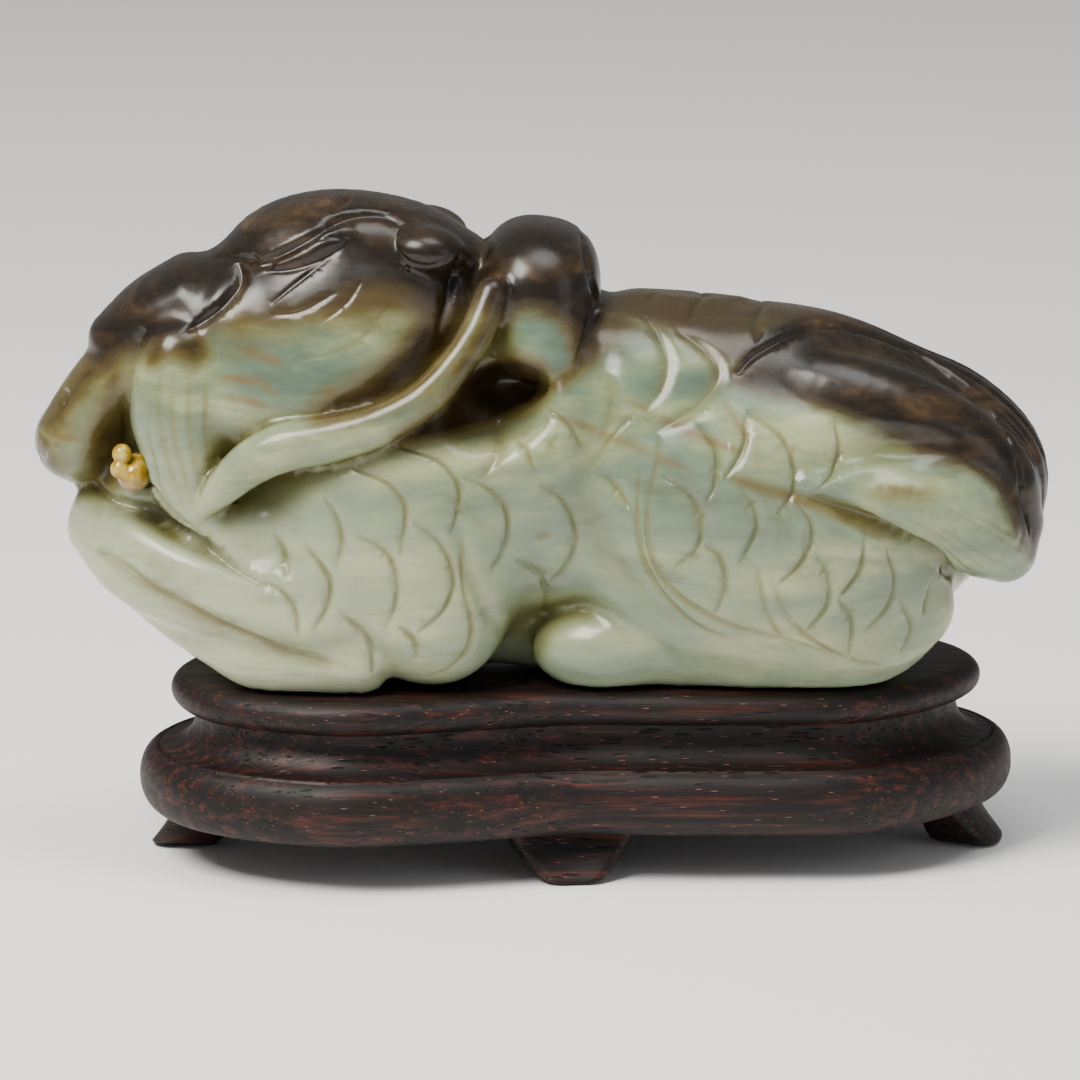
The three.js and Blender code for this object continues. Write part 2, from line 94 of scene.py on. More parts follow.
def egg(centre, radii, tilt=0, power=2):
    # tilt lifts the +X end, and a power over 2 squares the egg off a little
    cosine, sine = math.cos(math.radians(tilt)), math.sin(math.radians(tilt))

    def field(p):
        x, y, z = (p - np.array(centre, float)).T
        a = np.abs((cosine * x + sine * z) / radii[0])
        b = np.abs(y / radii[1])
        c = np.abs((cosine * z - sine * x) / radii[2])
        level = np.maximum((a**power + b**power + c**power) ** (1 / power), 1e-6)
        slope = np.sqrt(
            ((a / level) ** (power - 1) / radii[0]) ** 2
            + ((b / level) ** (power - 1) / radii[1]) ** 2
            + ((c / level) ** (power - 1) / radii[2]) ** 2
        )
        return (level - 1) / slope

    return field


def smoothPath(points, steps, closed=False):
    # a centripetal curve through points of any number of numbers, spaced by their first three
    points = np.array(points, float)
    count = len(points)
    if closed:
        ringed = points[np.arange(-1, count + 2) % count]
        spans = count
    else:
        ringed = np.vstack([2 * points[0] - points[1], points, 2 * points[-1] - points[-2]])
        spans = count - 1
    path = []
    for i in range(spans):
        p0, p1, p2, p3 = ringed[i:i + 4]
        d0, d1, d2 = (
            max(np.linalg.norm((b - a)[:3]), 1e-6) ** 0.5 for a, b in ((p0, p1), (p1, p2), (p2, p3))
        )
        t1 = d1 * ((p1 - p0) / d0 - (p2 - p0) / (d0 + d1) + (p2 - p1) / d1)
        t2 = d1 * ((p2 - p1) / d1 - (p3 - p1) / (d1 + d2) + (p3 - p2) / d2)
        for step in range(steps):
            t = step / steps
            path.append(
                p1 + t1 * t + (3 * (p2 - p1) - 2 * t1 - t2) * t**2 + (2 * (p1 - p2) + t1 + t2) * t**3
            )
    if not closed:
        path.append(points[-1])
    return np.array(path)


def roll(points, flat=1, reach=5):
    # a rounded roll along a path of points (x, y, z, radius), wider across y by flat
    path = smoothPath(points, 5)
    spread = np.array([1, max(flat, 1), 1])
    low = (path[:, :3] - path[:, 3:] * spread).min(0)
    high = (path[:, :3] + path[:, 3:] * spread).max(0)

    def field(p):
        outside = np.linalg.norm(np.maximum(np.maximum(low - p, p - high), 0), axis=1)
        result = outside + 0.5
        near = outside < reach
        q = p[near]
        nearest = np.full(len(q), 1e9)
        for a, b in zip(path[:-1], path[1:]):
            step = (b - a)[:3]
            t = np.clip(((q - a[:3]) @ step) / max(step @ step, 1e-9), 0, 1)
            away = q - (a[:3] + t[:, None] * step)
            away[:, 1] /= flat
            nearest = np.minimum(nearest, np.linalg.norm(away, axis=1) - a[3] - t * (b[3] - a[3]))
        result[near] = nearest
        return result

    return field


trunk = [
    (egg([2, 0, 15.5], [14, 12, 10], 0, 2.2), 4),
    (egg([-13, 0, 18], [17, 12.5, 14], 12), 5),
    (egg([28, 0, 19.5], [18, 12, 15], -24), 5),
    (egg([-2, 5.5, 23.5], [11, 8, 8.5]), 3),
    (egg([-17, 0, 7], [17, 9, 9]), 3),
    (egg([-27.5, 6.4, 15], [8.5, 6, 5.5]), 2.5),
    (egg([22, 0, 7], [17, 9, 9]), 3),
    (egg([2, 0, 5], [11, 6.5, 5.5]), 2),
    (roll([[-38, 0, 10.5, 3.2], [-30, 0, 10, 7], [-20, 0, 12, 11]]), 4),
]
ribs = egg([8, 0, 21.8], [27, 13, 15.2], -1, 2.2)
skull = egg([-19.5, 0, 33], [15.5, 12.2, 13.2], 8)
snout = roll([[-45.6, 0, 22.6, 4], [-42.6, 0, 27.2, 4], [-38, 0, 31.5, 4.6], [-30, 0, 35, 6]], 1.6)
face = [
    (egg([-31, 0, 29], [9.5, 10.6, 10.5]), 4),
    (egg([-23, 6.8, 27.5], [9.5, 6, 7]), 3),
    (snout, 2),
    (roll([[-33, 0, 19, 7], [-41, 0, 15, 4.6]], 1.2), 3),
]
upperArm = egg([-14.2, 7.8, 14], [12.6, 8.2, 12.8], 0, 2.2)
elbow = egg([-10, 9.2, 7.2], [6.4, 6.2, 6.9])
chinFold = roll([[-43, 1.5, 14, 3.4], [-39, 6, 11.6, 4.3], [-32, 8.6, 9.6, 5], [-22, 9.6, 8.6, 6]])
frontPaw = roll([
    [-40, 2.5, 9.8, 2.8], [-35.2, 5.2, 6.8, 3.2], [-31, 8, 4.6, 3.2], [-27, 10, 3, 3.4], [-18, 11, 2.6, 3.4],
])
thigh = egg([21.8, 8, 14.8], [18.2, 8.6, 14.4], -6, 2.3)
shank = roll([[8, 7.6, 3.4, 3.6], [20, 7.9, 3.6, 4.4], [31.5, 7.3, 5.6, 6], [35.8, 6.8, 7.4, 4.7]])
hindFoot = egg([6.6, 7.8, 3.8], [7.4, 5.4, 4.4], 5)
cheekFlap = roll([[-35.2, 7.6, 33, 2.7], [-35.1, 7.4, 28, 4.7], [-34.2, 8, 22, 4.6], [-32.9, 9.8, 17, 2.2]])
mouthRecess = egg([-40.6, 9.7, 21.6], [1.9, 4.2, 4.6], 14)
nose = roll([[-41.6, 0, 32.8, 2.6], [-38, 0, 35.3, 3.4], [-34.2, 0, 37.2, 3.8]], 2)
hornCrest = roll([
    [-30, 0, 39.3, 2.2], [-26.5, 0, 42, 3.4], [-21, 0, 43.2, 4], [-13, 0, 42.4, 3.8], [-7.8, 0, 40.6, 2.8],
], 2)
ear = egg([-10.9, 6, 42.4], [3.8, 3.4, 2.4], -8)
neckHollow = egg([-4.6, 13, 28], [5, 6.5, 3.6], 15)
neckDepth = egg([-3, 9.5, 29.4], [4.2, 5.5, 2.6], 22)
lockHollow = roll([[-9, 13, 38, 1.6], [-11, 13, 33.2, 2.2], [-14.6, 13.4, 30, 2], [-19, 13.6, 28.2, 1]])
topknot = egg([-0.4, 0, 36.9], [6.2, 10.2, 7.6], -8, 2.5)
topknotLobe = egg([0.8, 7, 33.4], [4.6, 4.6, 3.7])
maneLock = roll([
    [-33, 11.6, 17.4, 0.7], [-30.8, 12.6, 20.2, 1.7], [-28, 13.1, 22.8, 2.2], [-25, 13.4, 24.4, 2.4],
    [-20, 13.6, 25.4, 2.3], [-15.5, 13.6, 26.8, 2.1], [-11.6, 13.2, 28.9, 1.9], [-8.7, 12.4, 31.7, 1.8],
    [-6.3, 11.2, 35, 1.7], [-4.6, 9.4, 38.8, 1.7],
])
tailMiddle = roll(
    [[26, 0, 30.6, 3.5], [34, 0, 27.9, 4.6], [41, 0, 24.6, 4.8], [45, 0, 20, 4.8], [44.6, 0, 14, 4.6]], 1.5,
)
tailUpperLobe = roll([
    [20.5, 6.2, 29.4, 1], [24.5, 6.6, 29.2, 3.4], [31, 7.2, 27, 5.2], [38, 7.2, 23.6, 5.6],
    [43.2, 6.6, 20, 5], [45.2, 5.6, 15.5, 4],
])
tailLowerLobe = roll([
    [28, 13.5, 20, 0.8], [31.5, 13.5, 19.7, 2.7], [37, 12.4, 18.2, 4.2], [42, 10.6, 15.9, 4.5],
    [45.2, 8, 13.2, 3.2],
])
resinForms = [
    egg([-40.5, -9.6, 23.1], [0.9, 0.9, 0.9]),
    egg([-40.7, -9.7, 21.6], [0.9, 0.9, 0.9]),
    egg([-39.4, -8, 20.9], [1.7, 2.6, 1.9], -35),
]
ridges = []  # low raised forms, added once their places on the body are known


def carving(p):
    # both sides of the beast mirror each other, apart from the socket for the resin
    q = p.copy()
    q[:, 1] = np.abs(q[:, 1])
    body = ribs(q)
    for form, blend in trunk:
        body = softMin(body, form(q), blend)
    head = skull(q)
    for form, blend in face:
        head = softMin(head, form(q), blend)
    body = softMin(body, head, 3)
    body = softMin(body, softMin(upperArm(q), elbow(q), 3), 2.2)
    for form, blend in (
        (chinFold, 1.5), (frontPaw, 1), (thigh, 2), (shank, 1.5), (hindFoot, 1.2), (cheekFlap, 1.2),
    ):
        body = softMin(body, form(q), blend)
    body = softMax(body, -mouthRecess(q), 1.2)
    for form, blend in ((nose, 0.8), (hornCrest, 1), (ear, 0.6)):
        body = softMin(body, form(q), blend)
    for form, blend in ((neckHollow, 3), (neckDepth, 0.8), (lockHollow, 1)):
        body = softMax(body, -form(q), blend)
    body = softMin(body, softMin(topknot(q), topknotLobe(q), 2), 0.8)
    body = softMin(body, maneLock(q), 0.6)
    tail = softMin(softMin(tailMiddle(q), tailUpperLobe(q), 0.8), tailLowerLobe(q), 1.2)
    body = softMin(body, tail, 0.8)
    for form, blend in ridges:
        body = softMin(body, form(q), blend)
    resin = np.full(len(p), 10.0)
    for form in resinForms:
        resin = softMin(resin, form(p), 0.3)
    return np.maximum(np.maximum(body, 0.5 - resin), -p[:, 2])


def slopeOf(field, p, step=0.05):
    slope = np.empty_like(p)
    for axis in range(3):
        shift = np.zeros(3)
        shift[axis] = step
        slope[:, axis] = (field(p + shift) - field(p - shift)) / (2 * step)
    return slope


def drawnOnto(field, p, rounds=2, most=1.0):
    # move points along the slope onto the surface
    for _ in range(rounds):
        slope = slopeOf(field, p)
        move = -slope * (field(p) / np.maximum((slope * slope).sum(1), 0.05))[:, None]
        length = np.linalg.norm(move, axis=1, keepdims=True)
        p = p + move * np.minimum(1, most / np.maximum(length, 1e-9))
    return p


def seenOn(field, pixels):
    # the points of the surface that are seen at these pixels of the picture
    pixels = np.array(pixels, float)
    half = photoView["frame"] / 2
    rays = forward * focalPixels + upward * (half - pixels[:, 1])[:, None]
    rays[:, 0] += pixels[:, 0] - half
    rays /= np.linalg.norm(rays, axis=1, keepdims=True)
    along = np.full(len(pixels), photoView["distance"] - 40.0)
    best, bestAlong = np.full(len(pixels), 1e9), along.copy()
    for _ in range(70):
        level = field(eye + rays * along[:, None])
        closer = (level < best - 1e-4) & (best > 0.02)
        best[closer], bestAlong[closer] = level[closer], along[closer]
        along = along + np.where(best > 0.02, np.maximum(level, 0.02) * 0.7, 0)
    return drawnOnto(field, eye + rays * bestAlong[:, None], 1)


def netOf(field, low, high, cell):
    # a closed net around the inside of a field, one point in each cell that the surface crosses
    size = [int(math.ceil((b - a) / cell)) + 1 for a, b in zip(low, high)]
    axes = [low[i] + cell * np.arange(size[i]) for i in range(3)]
    places = np.stack(np.meshgrid(*axes, indexing="ij"), -1).reshape(-1, 3)
    levels = np.concatenate([field(part) for part in np.array_split(places, max(1, len(places) // 120000))])
    levels = levels.reshape(size)
    inside = levels < 0
    cells = [n - 1 for n in size]
    crossings = np.zeros(cells)
    sums = np.zeros(cells + [3])

    def corner(values, at):
        return values[tuple(slice(at[i], at[i] + cells[i]) for i in range(3))]

    for at in np.ndindex(2, 2, 2):
        for axis in range(3):
            if at[axis]:
                continue
            other = list(at)
            other[axis] = 1
            a, b = corner(levels, at), corner(levels, other)
            crossed = corner(inside, at) != corner(inside, other)
            t = np.where(crossed, a / np.where(crossed, a - b, 1), 0)
            crossings += crossed
            for i in range(3):
                sums[..., i] += crossed * (at[i] + (t if i == axis else 0))
    used = crossings > 0
    index = np.full(cells, -1)
    index[used] = np.arange(used.sum())
    points = np.array(low) + cell * (np.argwhere(used) + sums[used] / crossings[used][:, None])
    triangles = []
    for axis in range(3):
        u, v = (axis + 1) % 3, (axis + 2) % 3
        here, there = [slice(None)] * 3, [slice(None)] * 3
        here[axis], there[axis] = slice(0, -1), slice(1, None)
        crossed = np.argwhere(inside[tuple(here)] != inside[tuple(there)])
        kept = (crossed[:, [u, v]] > 0).all(1) & (crossed[:, [u, v]] < [cells[u], cells[v]]).all(1)
        crossed = crossed[kept]
        ring = []
        for du, dv in ((-1, -1), (0, -1), (0, 0), (-1, 0)):
            at = crossed.copy()
            at[:, u] += du
            at[:, v] += dv
            ring.append(index[tuple(at.T)])
        ring = np.stack(ring, 1)
        outward = inside[tuple(crossed.T)]
        ring[~outward] = ring[~outward][:, ::-1]
        shorter = np.linalg.norm(points[ring[:, 0]] - points[ring[:, 2]], axis=1) < np.linalg.norm(
            points[ring[:, 1]] - points[ring[:, 3]], axis=1
        )
        for mask, halves in ((shorter, ((0, 1, 2), (0, 2, 3))), (~shorter, ((0, 1, 3), (1, 2, 3)))):
            for half in halves:
                triangles.append(ring[mask][:, half])
    return points, np.concatenate(triangles)


def evened(points, triangles, rounds, amount):
    # slide points towards the middle of their neighbours
    a = np.concatenate([triangles[:, i] for i in range(3)])
    b = np.concatenate([triangles[:, (i + 1) % 3] for i in range(3)])
    for _ in range(rounds):
        sums = np.zeros((len(points), 4))
        for i in range(3):
            sums[:, i] = np.bincount(a, points[b, i], len(points))
        sums[:, 3] = np.bincount(a, minlength=len(points))
        points = points + amount * (sums[:, :3] / sums[:, 3:] - points)
    return points


def halved(points, triangles, wanted):
    # halve the edges between wanted points, with each triangle cut to fit
    edges = np.sort(np.concatenate([triangles[:, [i, (i + 1) % 3]] for i in range(3)]), 1)
    edges, back = np.unique(edges, axis=0, return_inverse=True)
    back = back.reshape(3, -1).T
    cut = wanted[edges].all(1)
    newIndex = np.full(len(edges), -1)
    newIndex[cut] = len(points) + np.arange(cut.sum())
    points = np.vstack([points, points[edges[cut]].mean(1)])
    middle = newIndex[back]
    parts = []
    has = middle >= 0
    for pattern in range(8):
        sides = [bool(pattern & (1 << i)) for i in range(3)]
        mask = (has == sides).all(1)
        if not mask.any():
            continue
        t, m = triangles[mask], middle[mask]
        count = sum(sides)
        if count == 0:
            parts.append(t)
        elif count == 3:
            parts += [
                np.stack(columns, 1)
                for columns in (
                    (t[:, 0], m[:, 0], m[:, 2]), (m[:, 0], t[:, 1], m[:, 1]),
                    (m[:, 2], m[:, 1], t[:, 2]), (m[:, 0], m[:, 1], m[:, 2]),
                )
            ]
        elif count == 1:
            i = sides.index(True)
            j, k = (i + 1) % 3, (i + 2) % 3
            parts += [np.stack(c, 1) for c in ((t[:, i], m[:, i], t[:, k]), (m[:, i], t[:, j], t[:, k]))]
        else:
            i = (sides.index(False) + 1) % 3
            j, k = (i + 1) % 3, (i + 2) % 3
            parts += [
                np.stack(c, 1)
                for c in (
                    (m[:, i], t[:, j], m[:, j]), (t[:, i], m[:, i], m[:, j]), (t[:, i], m[:, j], t[:, k]),
                )
            ]
    return points, np.concatenate(parts)


# The carved lines, drawn in the picture's pixels and cast onto the body
# Each line runs so that the lower side, where there is one, is on its left hand.

scaleRows = {
    "shoulder": [
        [(400, 446), (440, 461), (459, 486), (459, 507), (451, 534)],
        [(356, 469), (386, 482), (404, 503), (405, 524), (400, 553)],
        [(325, 498), (337, 522), (341, 542), (335, 568)],
        [(415, 524), (436, 540), (451, 563), (454, 584), (444, 609), (419, 632)],
        [(360, 538), (383, 551), (394, 568), (397, 589), (392, 614), (384, 628)],
        [(304, 545), (323, 570), (330, 584), (327, 607), (314, 630)],
        [(275, 534), (285, 559), (286, 576)],
        [(260, 580), (279, 589), (294, 609), (298, 635)],
        [(340, 614), (363, 635), (373, 655), (373, 672)],
        [(398, 628), (413, 643), (417, 658)],
    ],
    "belly": [
        [(463, 478), (486, 488), (505, 507), (509, 530), (503, 551), (493, 567)],
        [(518, 561), (536, 574), (545, 591), (543, 611)],
        [(540, 485), (563, 502), (575, 527), (575, 546), (567, 565), (550, 583)],
        [(545, 409), (570, 425), (585, 450)],
        [(605, 476), (619, 493), (628, 508)],
    ],
    "thigh": [
        [(699, 426), (715, 449), (716, 472), (713, 489), (707, 500)],
        [(745, 420), (745, 441), (737, 460), (724, 478)],
        [(663, 477), (688, 495), (701, 520), (699, 543), (690, 556), (676, 566)],
        [(703, 544), (718, 556), (726, 579), (722, 598), (715, 613)],
        [(743, 491), (755, 512), (757, 527), (749, 546), (739, 563)],
        [(748, 413), (780, 435), (794, 464), (793, 490), (774, 518)],
        [(834, 419), (841, 448), (834, 471), (818, 490)],
        [(796, 502), (812, 525), (810, 547), (796, 569), (780, 582)],
        [(815, 553), (828, 576), (828, 604), (806, 632)],
        [(865, 541), (861, 569), (841, 596)],
        [(888, 553), (896, 579), (888, 608), (866, 630)],
        [(839, 601), (852, 620), (849, 655)],
        [(901, 601), (912, 627), (901, 655)],
        [(932, 582), (924, 614)],
    ],
}
carvedLines = {
    "scales": {
        "width": 0.26, "depth": 0.22, "drop": 0.34, "dropReach": 2.6, "stain": 0.8,
        "lines": scaleRows["shoulder"] + scaleRows["belly"] + scaleRows["thigh"],
    },
    "thighBorders": {
        "width": 0.3, "depth": 0.26, "stain": 0.8,
        "lines": [
            [(638, 470), (637, 505), (638, 533), (644, 562), (657, 587), (672, 606), (692, 624), (730, 640)],
            [(647, 420), (657, 433), (659, 454), (651, 487), (647, 512), (648, 543), (657, 569), (676, 594),
             (701, 611), (728, 625), (760, 634), (810, 647), (850, 660)],
            [(758, 569), (767, 611), (783, 640), (796, 652)],
            [(771, 579), (790, 620), (825, 649), (850, 660), (880, 666)],
        ],
    },
    "foreleg": {
        "width": 0.35, "depth": 0.3, "stain": 0.8,
        "lines": [
            [(465, 545), (465, 591), (472, 620), (470, 645), (451, 668), (428, 677)],
            [(102, 551), (121, 561), (154, 586), (185, 603), (223, 624), (250, 635), (297, 653), (320, 658),
             (350, 668)],
        ],
    },
    "face": {
        "width": 0.28, "depth": 0.17, "stain": 0.55,
        "lines": [
            [(348, 241), (318, 266), (290, 288), (272, 303)],
            [(272, 315), (299, 312), (335, 293)],
            [(295, 359), (329, 354), (364, 337), (389, 306)],
            [(320, 323), (347, 302), (360, 283)],
            [(152, 400), (148, 434), (154, 463), (162, 490), (173, 507)],
            [(262, 270), (282, 258), (306, 244), (330, 237), (349, 240)],
            [(266, 272), (290, 270), (314, 263), (334, 252), (349, 240)],
            [(400, 225), (395, 243), (406, 260), (429, 266), (448, 258), (457, 250)],
        ],
    },
    "creases": {
        "width": 0.6, "depth": 0.7, "stain": 0.5,
        "lines": [
            [(238, 262), (240, 280), (227, 299), (208, 316), (190, 329)],
            [(220, 256), (266, 258), (303, 241), (325, 226), (352, 215), (383, 215), (400, 224)],
            [(460, 256), (453, 280), (450, 297), (440, 328)],
            [(583, 237), (590, 270), (596, 300), (588, 335), (578, 362)],
            # this line's stain is painted shade, the dark crease under the tail leaf
            [(812, 498), (840, 507), (870, 524), (905, 541), (935, 556), (951, 577)],
            [(143, 333), (135, 352), (127, 400), (131, 438), (139, 467), (154, 492), (175, 516), (198, 534)],
        ],
    },
    "jawEdge": {
        "width": 0.45, "depth": 0.45, "drop": 0.8, "dropReach": 3.2, "stain": 0.6,
        "lines": [
            [(266, 587), (231, 562), (185, 532), (152, 510), (127, 502), (108, 494), (92, 482)],
        ],
    },
    "leafCuts": {
        "width": 0.7, "depth": 0.24, "drop": 0.2, "dropReach": 1.8, "stain": 0.6,
        "lines": [
            [(646, 318), (658, 332), (667, 352), (668, 365), (662, 388), (646, 408)],
            [(681, 333), (703, 347), (718, 366), (718, 378), (697, 406), (658, 430)],
            [(497, 424), (499, 450), (481, 481)],
            [(608, 376), (614, 394), (611, 419), (604, 441)],
        ],
    },
    "spineCuts": {
        "width": 0.4, "depth": 0.3,
        "lines": [
            [(710, 290), (697, 303), (689, 321)],
            [(767, 301), (755, 321), (758, 332), (756, 343)],
            [(350, 197), (341, 204), (333, 212)],
        ],
    },
    "shortCuts": {
        "width": 0.26, "depth": 0.25, "stain": 0.9,
        "lines": [
            [(515, 438), (526, 452), (535, 470)],
            [(558, 435), (552, 443), (548, 453)],
            [(637, 410), (608, 442), (592, 467)],
            [(553, 534), (536, 540)],
            [(643, 303), (658, 291)],
        ],
    },
    "flapStreaks": {
        "width": 0.3, "depth": 0.05, "stain": 0.6,
        "lines": [
            [(160, 372), (158, 410), (168, 462), (184, 505)],
            [(174, 376), (172, 420), (182, 468), (194, 508)],
            [(190, 372), (189, 420), (196, 466), (203, 500)],
            [(206, 380), (206, 430), (212, 470)],
        ],
    },
    "tailEdges": {
        "width": 0.5, "depth": 0.45, "drop": 0.35, "dropReach": 3, "stain": 0.2,
        "lines": [
            [(739, 372), (752, 357), (770, 345), (809, 327), (850, 328), (895, 342), (937, 363), (990, 409),
             (1017, 450), (1024, 499), (1029, 530)],
        ],
    },
    "tailHairs": {
        "width": 0.2, "depth": 0.14, "stain": 0.3,
        "lines": [
            [(925, 520), (965, 543), (1005, 566)],
            [(938, 541), (957, 562), (976, 577)],
            [(950, 511), (990, 532), (1022, 551)],
            [(905, 517), (945, 540), (985, 571)],
            [(975, 515), (1003, 530), (1026, 543)],
        ],
    },
}

# Veins that only colour the stone
stoneVeins = {
    "width": 0.38, "depth": 0.0, "stain": 0.72,
    "lines": [
        [(218, 377), (240, 379), (262, 384)],
        [(242, 349), (262, 356), (286, 365)],
        [(250, 376), (262, 384), (280, 396)],
        [(226, 398), (250, 402), (272, 409)],
        [(300, 411), (330, 417), (358, 421)],
        [(322, 386), (336, 396), (352, 402)],
        [(545, 410), (580, 424), (620, 440), (655, 456), (690, 470)],
        [(720, 395), (736, 420), (752, 446), (760, 470)],
        [(622, 398), (650, 412), (684, 430), (730, 448), (766, 458)],
        [(735, 480), (770, 492), (810, 504), (850, 522), (880, 540)],
        [(880, 487), (902, 490), (925, 496)],
        [(40, 432), (58, 436), (84, 441)],
        [(448, 360), (462, 376), (470, 396)],
    ],
}

# Cuts that the picture does not show, as tracks in the carving's own axes
hiddenTracks = {
    "width": 0.4, "depth": 0.32, "stain": 0.3,
    "tracks": [
        [(31, 0, 33.4), (38, 0, 31), (44.8, 0, 27), (49.4, 0, 20.5), (49.2, 0, 13)],
        [(33, -1.7, 32.6), (39, -2, 30.4), (45, -2.2, 26.4), (49, -2, 20.5), (49, -1.2, 14)],
        [(35, -3.4, 31), (40.5, -3.9, 28.8), (45.6, -4.3, 25), (48.6, -3.9, 20), (48.8, -2.6, 14.5)],
        [(38.5, -5.6, 28.6), (43, -6.2, 26), (46.6, -6.3, 22.4), (48.2, -5.4, 18), (48.4, -4, 14)],
        # nostrils and the lip
        [(-46.8, -1.2, 26.4), (-46.4, -2.2, 27.6), (-46, -3.4, 27.6), (-46, -4, 26.6), (-46.6, -3.6, 25.8)],
        [(-49, 0, 21.6), (-48.8, -1.6, 21.2), (-48.4, -3.4, 21.4), (-47.8, -4.6, 22.2)],
        # between the toes
        [(-42.6, -1.4, 11.6), (-42.6, -1.7, 9.6), (-41, -2, 7.4)],
        [(-41.4, -4, 10.8), (-41, -4.5, 8.8), (-39.4, -4.8, 6.8)],
    ],
}

# Soft valleys between the masses, too shallow to be forms of their own
softValleys = {
    "thighFront": {
        "width": 1.9, "depth": 0.75,
        "lines": [[(606, 350), (592, 400), (586, 470), (590, 520), (612, 570), (640, 600), (700, 640)]],
    },
    "underTail": {
        "width": 1.0, "depth": 1.0,
        "lines": [[(800, 494), (832, 505), (867, 524), (905, 541), (935, 556), (952, 575)]],
    },
    "overTailLeaf": {
        "width": 1.5, "depth": 0.9,
        "lines": [[(790, 470), (840, 456), (900, 446), (950, 450), (988, 472)]],
    },
    "elbowBack": {
        "width": 0.9, "depth": 0.8,
        "lines": [[(460, 528), (468, 570), (484, 602), (500, 632)]],
    },
}

# Low raised forms: a middle line in pixels, its radii, how far it rises and how softly it blends
raisedForms = {
    "jawLeaf": ([(86, 500), (106, 514), (138, 530), (176, 552), (213, 571), (252, 586)],
                [1.6, 2.2, 2.6, 2.4, 1.6, 0.7], 0.9, 0.9),
    "browRoll": ([(262, 262), (290, 250), (322, 236), (346, 232)], [0.7, 1.0, 1.1, 0.6], 0.45, 0.8),
    "eyeball": ([(280, 264), (300, 258), (322, 248), (338, 243)], [0.5, 0.9, 0.9, 0.4], 0.35, 0.5),
    "flapDome": ([(172, 352), (184, 350)], [2.6, 2.3], 0.4, 1.2),
    "spine": ([(640, 296), (690, 296), (735, 301)], [2.2, 2.4, 1.6], 0.3, 1.5),
    "tailLeafRidge": ([(824, 486), (862, 471), (905, 464), (955, 463), (990, 490), (1014, 535)],
                      [0.6, 1.1, 1.5, 1.5, 1.3, 0.6], 0.55, 0.7),
}


def placeRidges():
    for pixels, radii, rise, blend in raisedForms.values():
        middle = seenOn(carving, pixels)
        slope = slopeOf(carving, middle)
        slope /= np.linalg.norm(slope, axis=1, keepdims=True)
        radii = np.array(radii)
        sunk = middle - slope * (radii - rise * radii / radii.max())[:, None]
        sunk[:, 1] = np.abs(sunk[:, 1])
        ridges.append((roll(np.column_stack([sunk, radii])), blend))


def lineSamples(lines, spacing=0.12):
    # dense points along each line on the surface, with pixel directions and a taper towards the ends
    parts = []
    for line in lines:
        track = smoothPath([(x, y, 0) for x, y in line], 12)[:, :2]
        length = np.concatenate([[0], np.cumsum(np.linalg.norm(np.diff(track, axis=0), axis=1))])
        count = int(length[-1] / photoView["pixelsPerUnit"] / spacing) + 2
        at = np.linspace(0, length[-1], count)
        pixels = np.stack([np.interp(at, length, track[:, i]) for i in range(2)], 1)
        heading = np.gradient(pixels, axis=0)
        taper = np.sqrt(np.clip(np.sin(np.pi * (0.03 + 0.94 * at / length[-1])), 0, 1))
        parts.append(np.column_stack([pixels, heading, taper]))
    return np.concatenate(parts)


def trackSamples(tracks, spacing=0.12):
    # the same for tracks that are given in the carving's own axes
    samples, places = [], []
    for track in tracks:
        path = smoothPath(track, 40)
        length = np.concatenate([[0], np.cumsum(np.linalg.norm(np.diff(path, axis=0), axis=1))])
        at = np.linspace(0, length[-1], int(length[-1] / spacing) + 2)
        places.append(np.stack([np.interp(at, length, path[:, i]) for i in range(3)], 1))
        taper = np.sqrt(np.clip(np.sin(np.pi * (0.03 + 0.94 * at / length[-1])), 0, 1))
        samples.append(np.column_stack([np.zeros((len(at), 4)), taper]))
    return np.concatenate(samples), drawnOnto(carving, np.concatenate(places), 4)


def cutDepth(group, samples, places, points, pixels):
    # how deep a group of lines cuts at each point, and how stained it is there
    drop, dropReach, stain = group.get("drop", 0), group.get("dropReach", 1), group.get("stain", 0)
    tree = KDTree(len(places))
    for i, place in enumerate(places):
        tree.insert(place, i)
    tree.balance()
    found = [tree.find(point) for point in points]
    nearest = np.array([index for _, index, _ in found])
    away = np.array([distance for _, _, distance in found])
    heading, taper = samples[nearest, 2:4], samples[nearest, 4]
    offset = pixels - samples[nearest, :2]
    lowSide = heading[:, 0] * offset[:, 1] - heading[:, 1] * offset[:, 0] < 0
    width = group["width"] * (0.45 + 0.55 * taper)
    groove = np.exp(-((away / width) ** 2))
    fade = np.clip(1 - away / dropReach, 0, 1) ** 2
    depth = taper * (group["depth"] * groove + drop * np.where(lowSide, fade, groove))
    return depth, taper * stain * np.exp(-((away / (width * 1.2)) ** 2))


def meshObject(name, points, triangles):
    mesh = bpy.data.meshes.new(name)
    mesh.from_pydata(points.tolist(), [], triangles.tolist())
    mesh.update()
    made = bpy.data.objects.new(name, mesh)
    bpy.context.scene.collection.objects.link(made)
    return made


def insidePatch(outline, pixels):
    # signed distance in pixels from a closed outline, negative inside
    corners = smoothPath([(x, y, 0) for x, y in outline], 3, closed=True)[:, :2]
    nearest = np.full(len(pixels), 1e9)
    crossings = np.zeros(len(pixels), int)
    for a, b in zip(corners, np.roll(corners, -1, axis=0)):
        step = b - a
        t = np.clip(((pixels - a) @ step) / max(step @ step, 1e-9), 0, 1)
        nearest = np.minimum(nearest, np.linalg.norm(pixels - a - t[:, None] * step, axis=1))
        spans = (a[1] > pixels[:, 1]) != (b[1] > pixels[:, 1])
        height = np.where(b[1] != a[1], b[1] - a[1], 1)
        crossings += spans & (pixels[:, 0] < a[0] + (pixels[:, 1] - a[1]) * step[0] / height)
    return np.where(crossings % 2, -nearest, nearest)


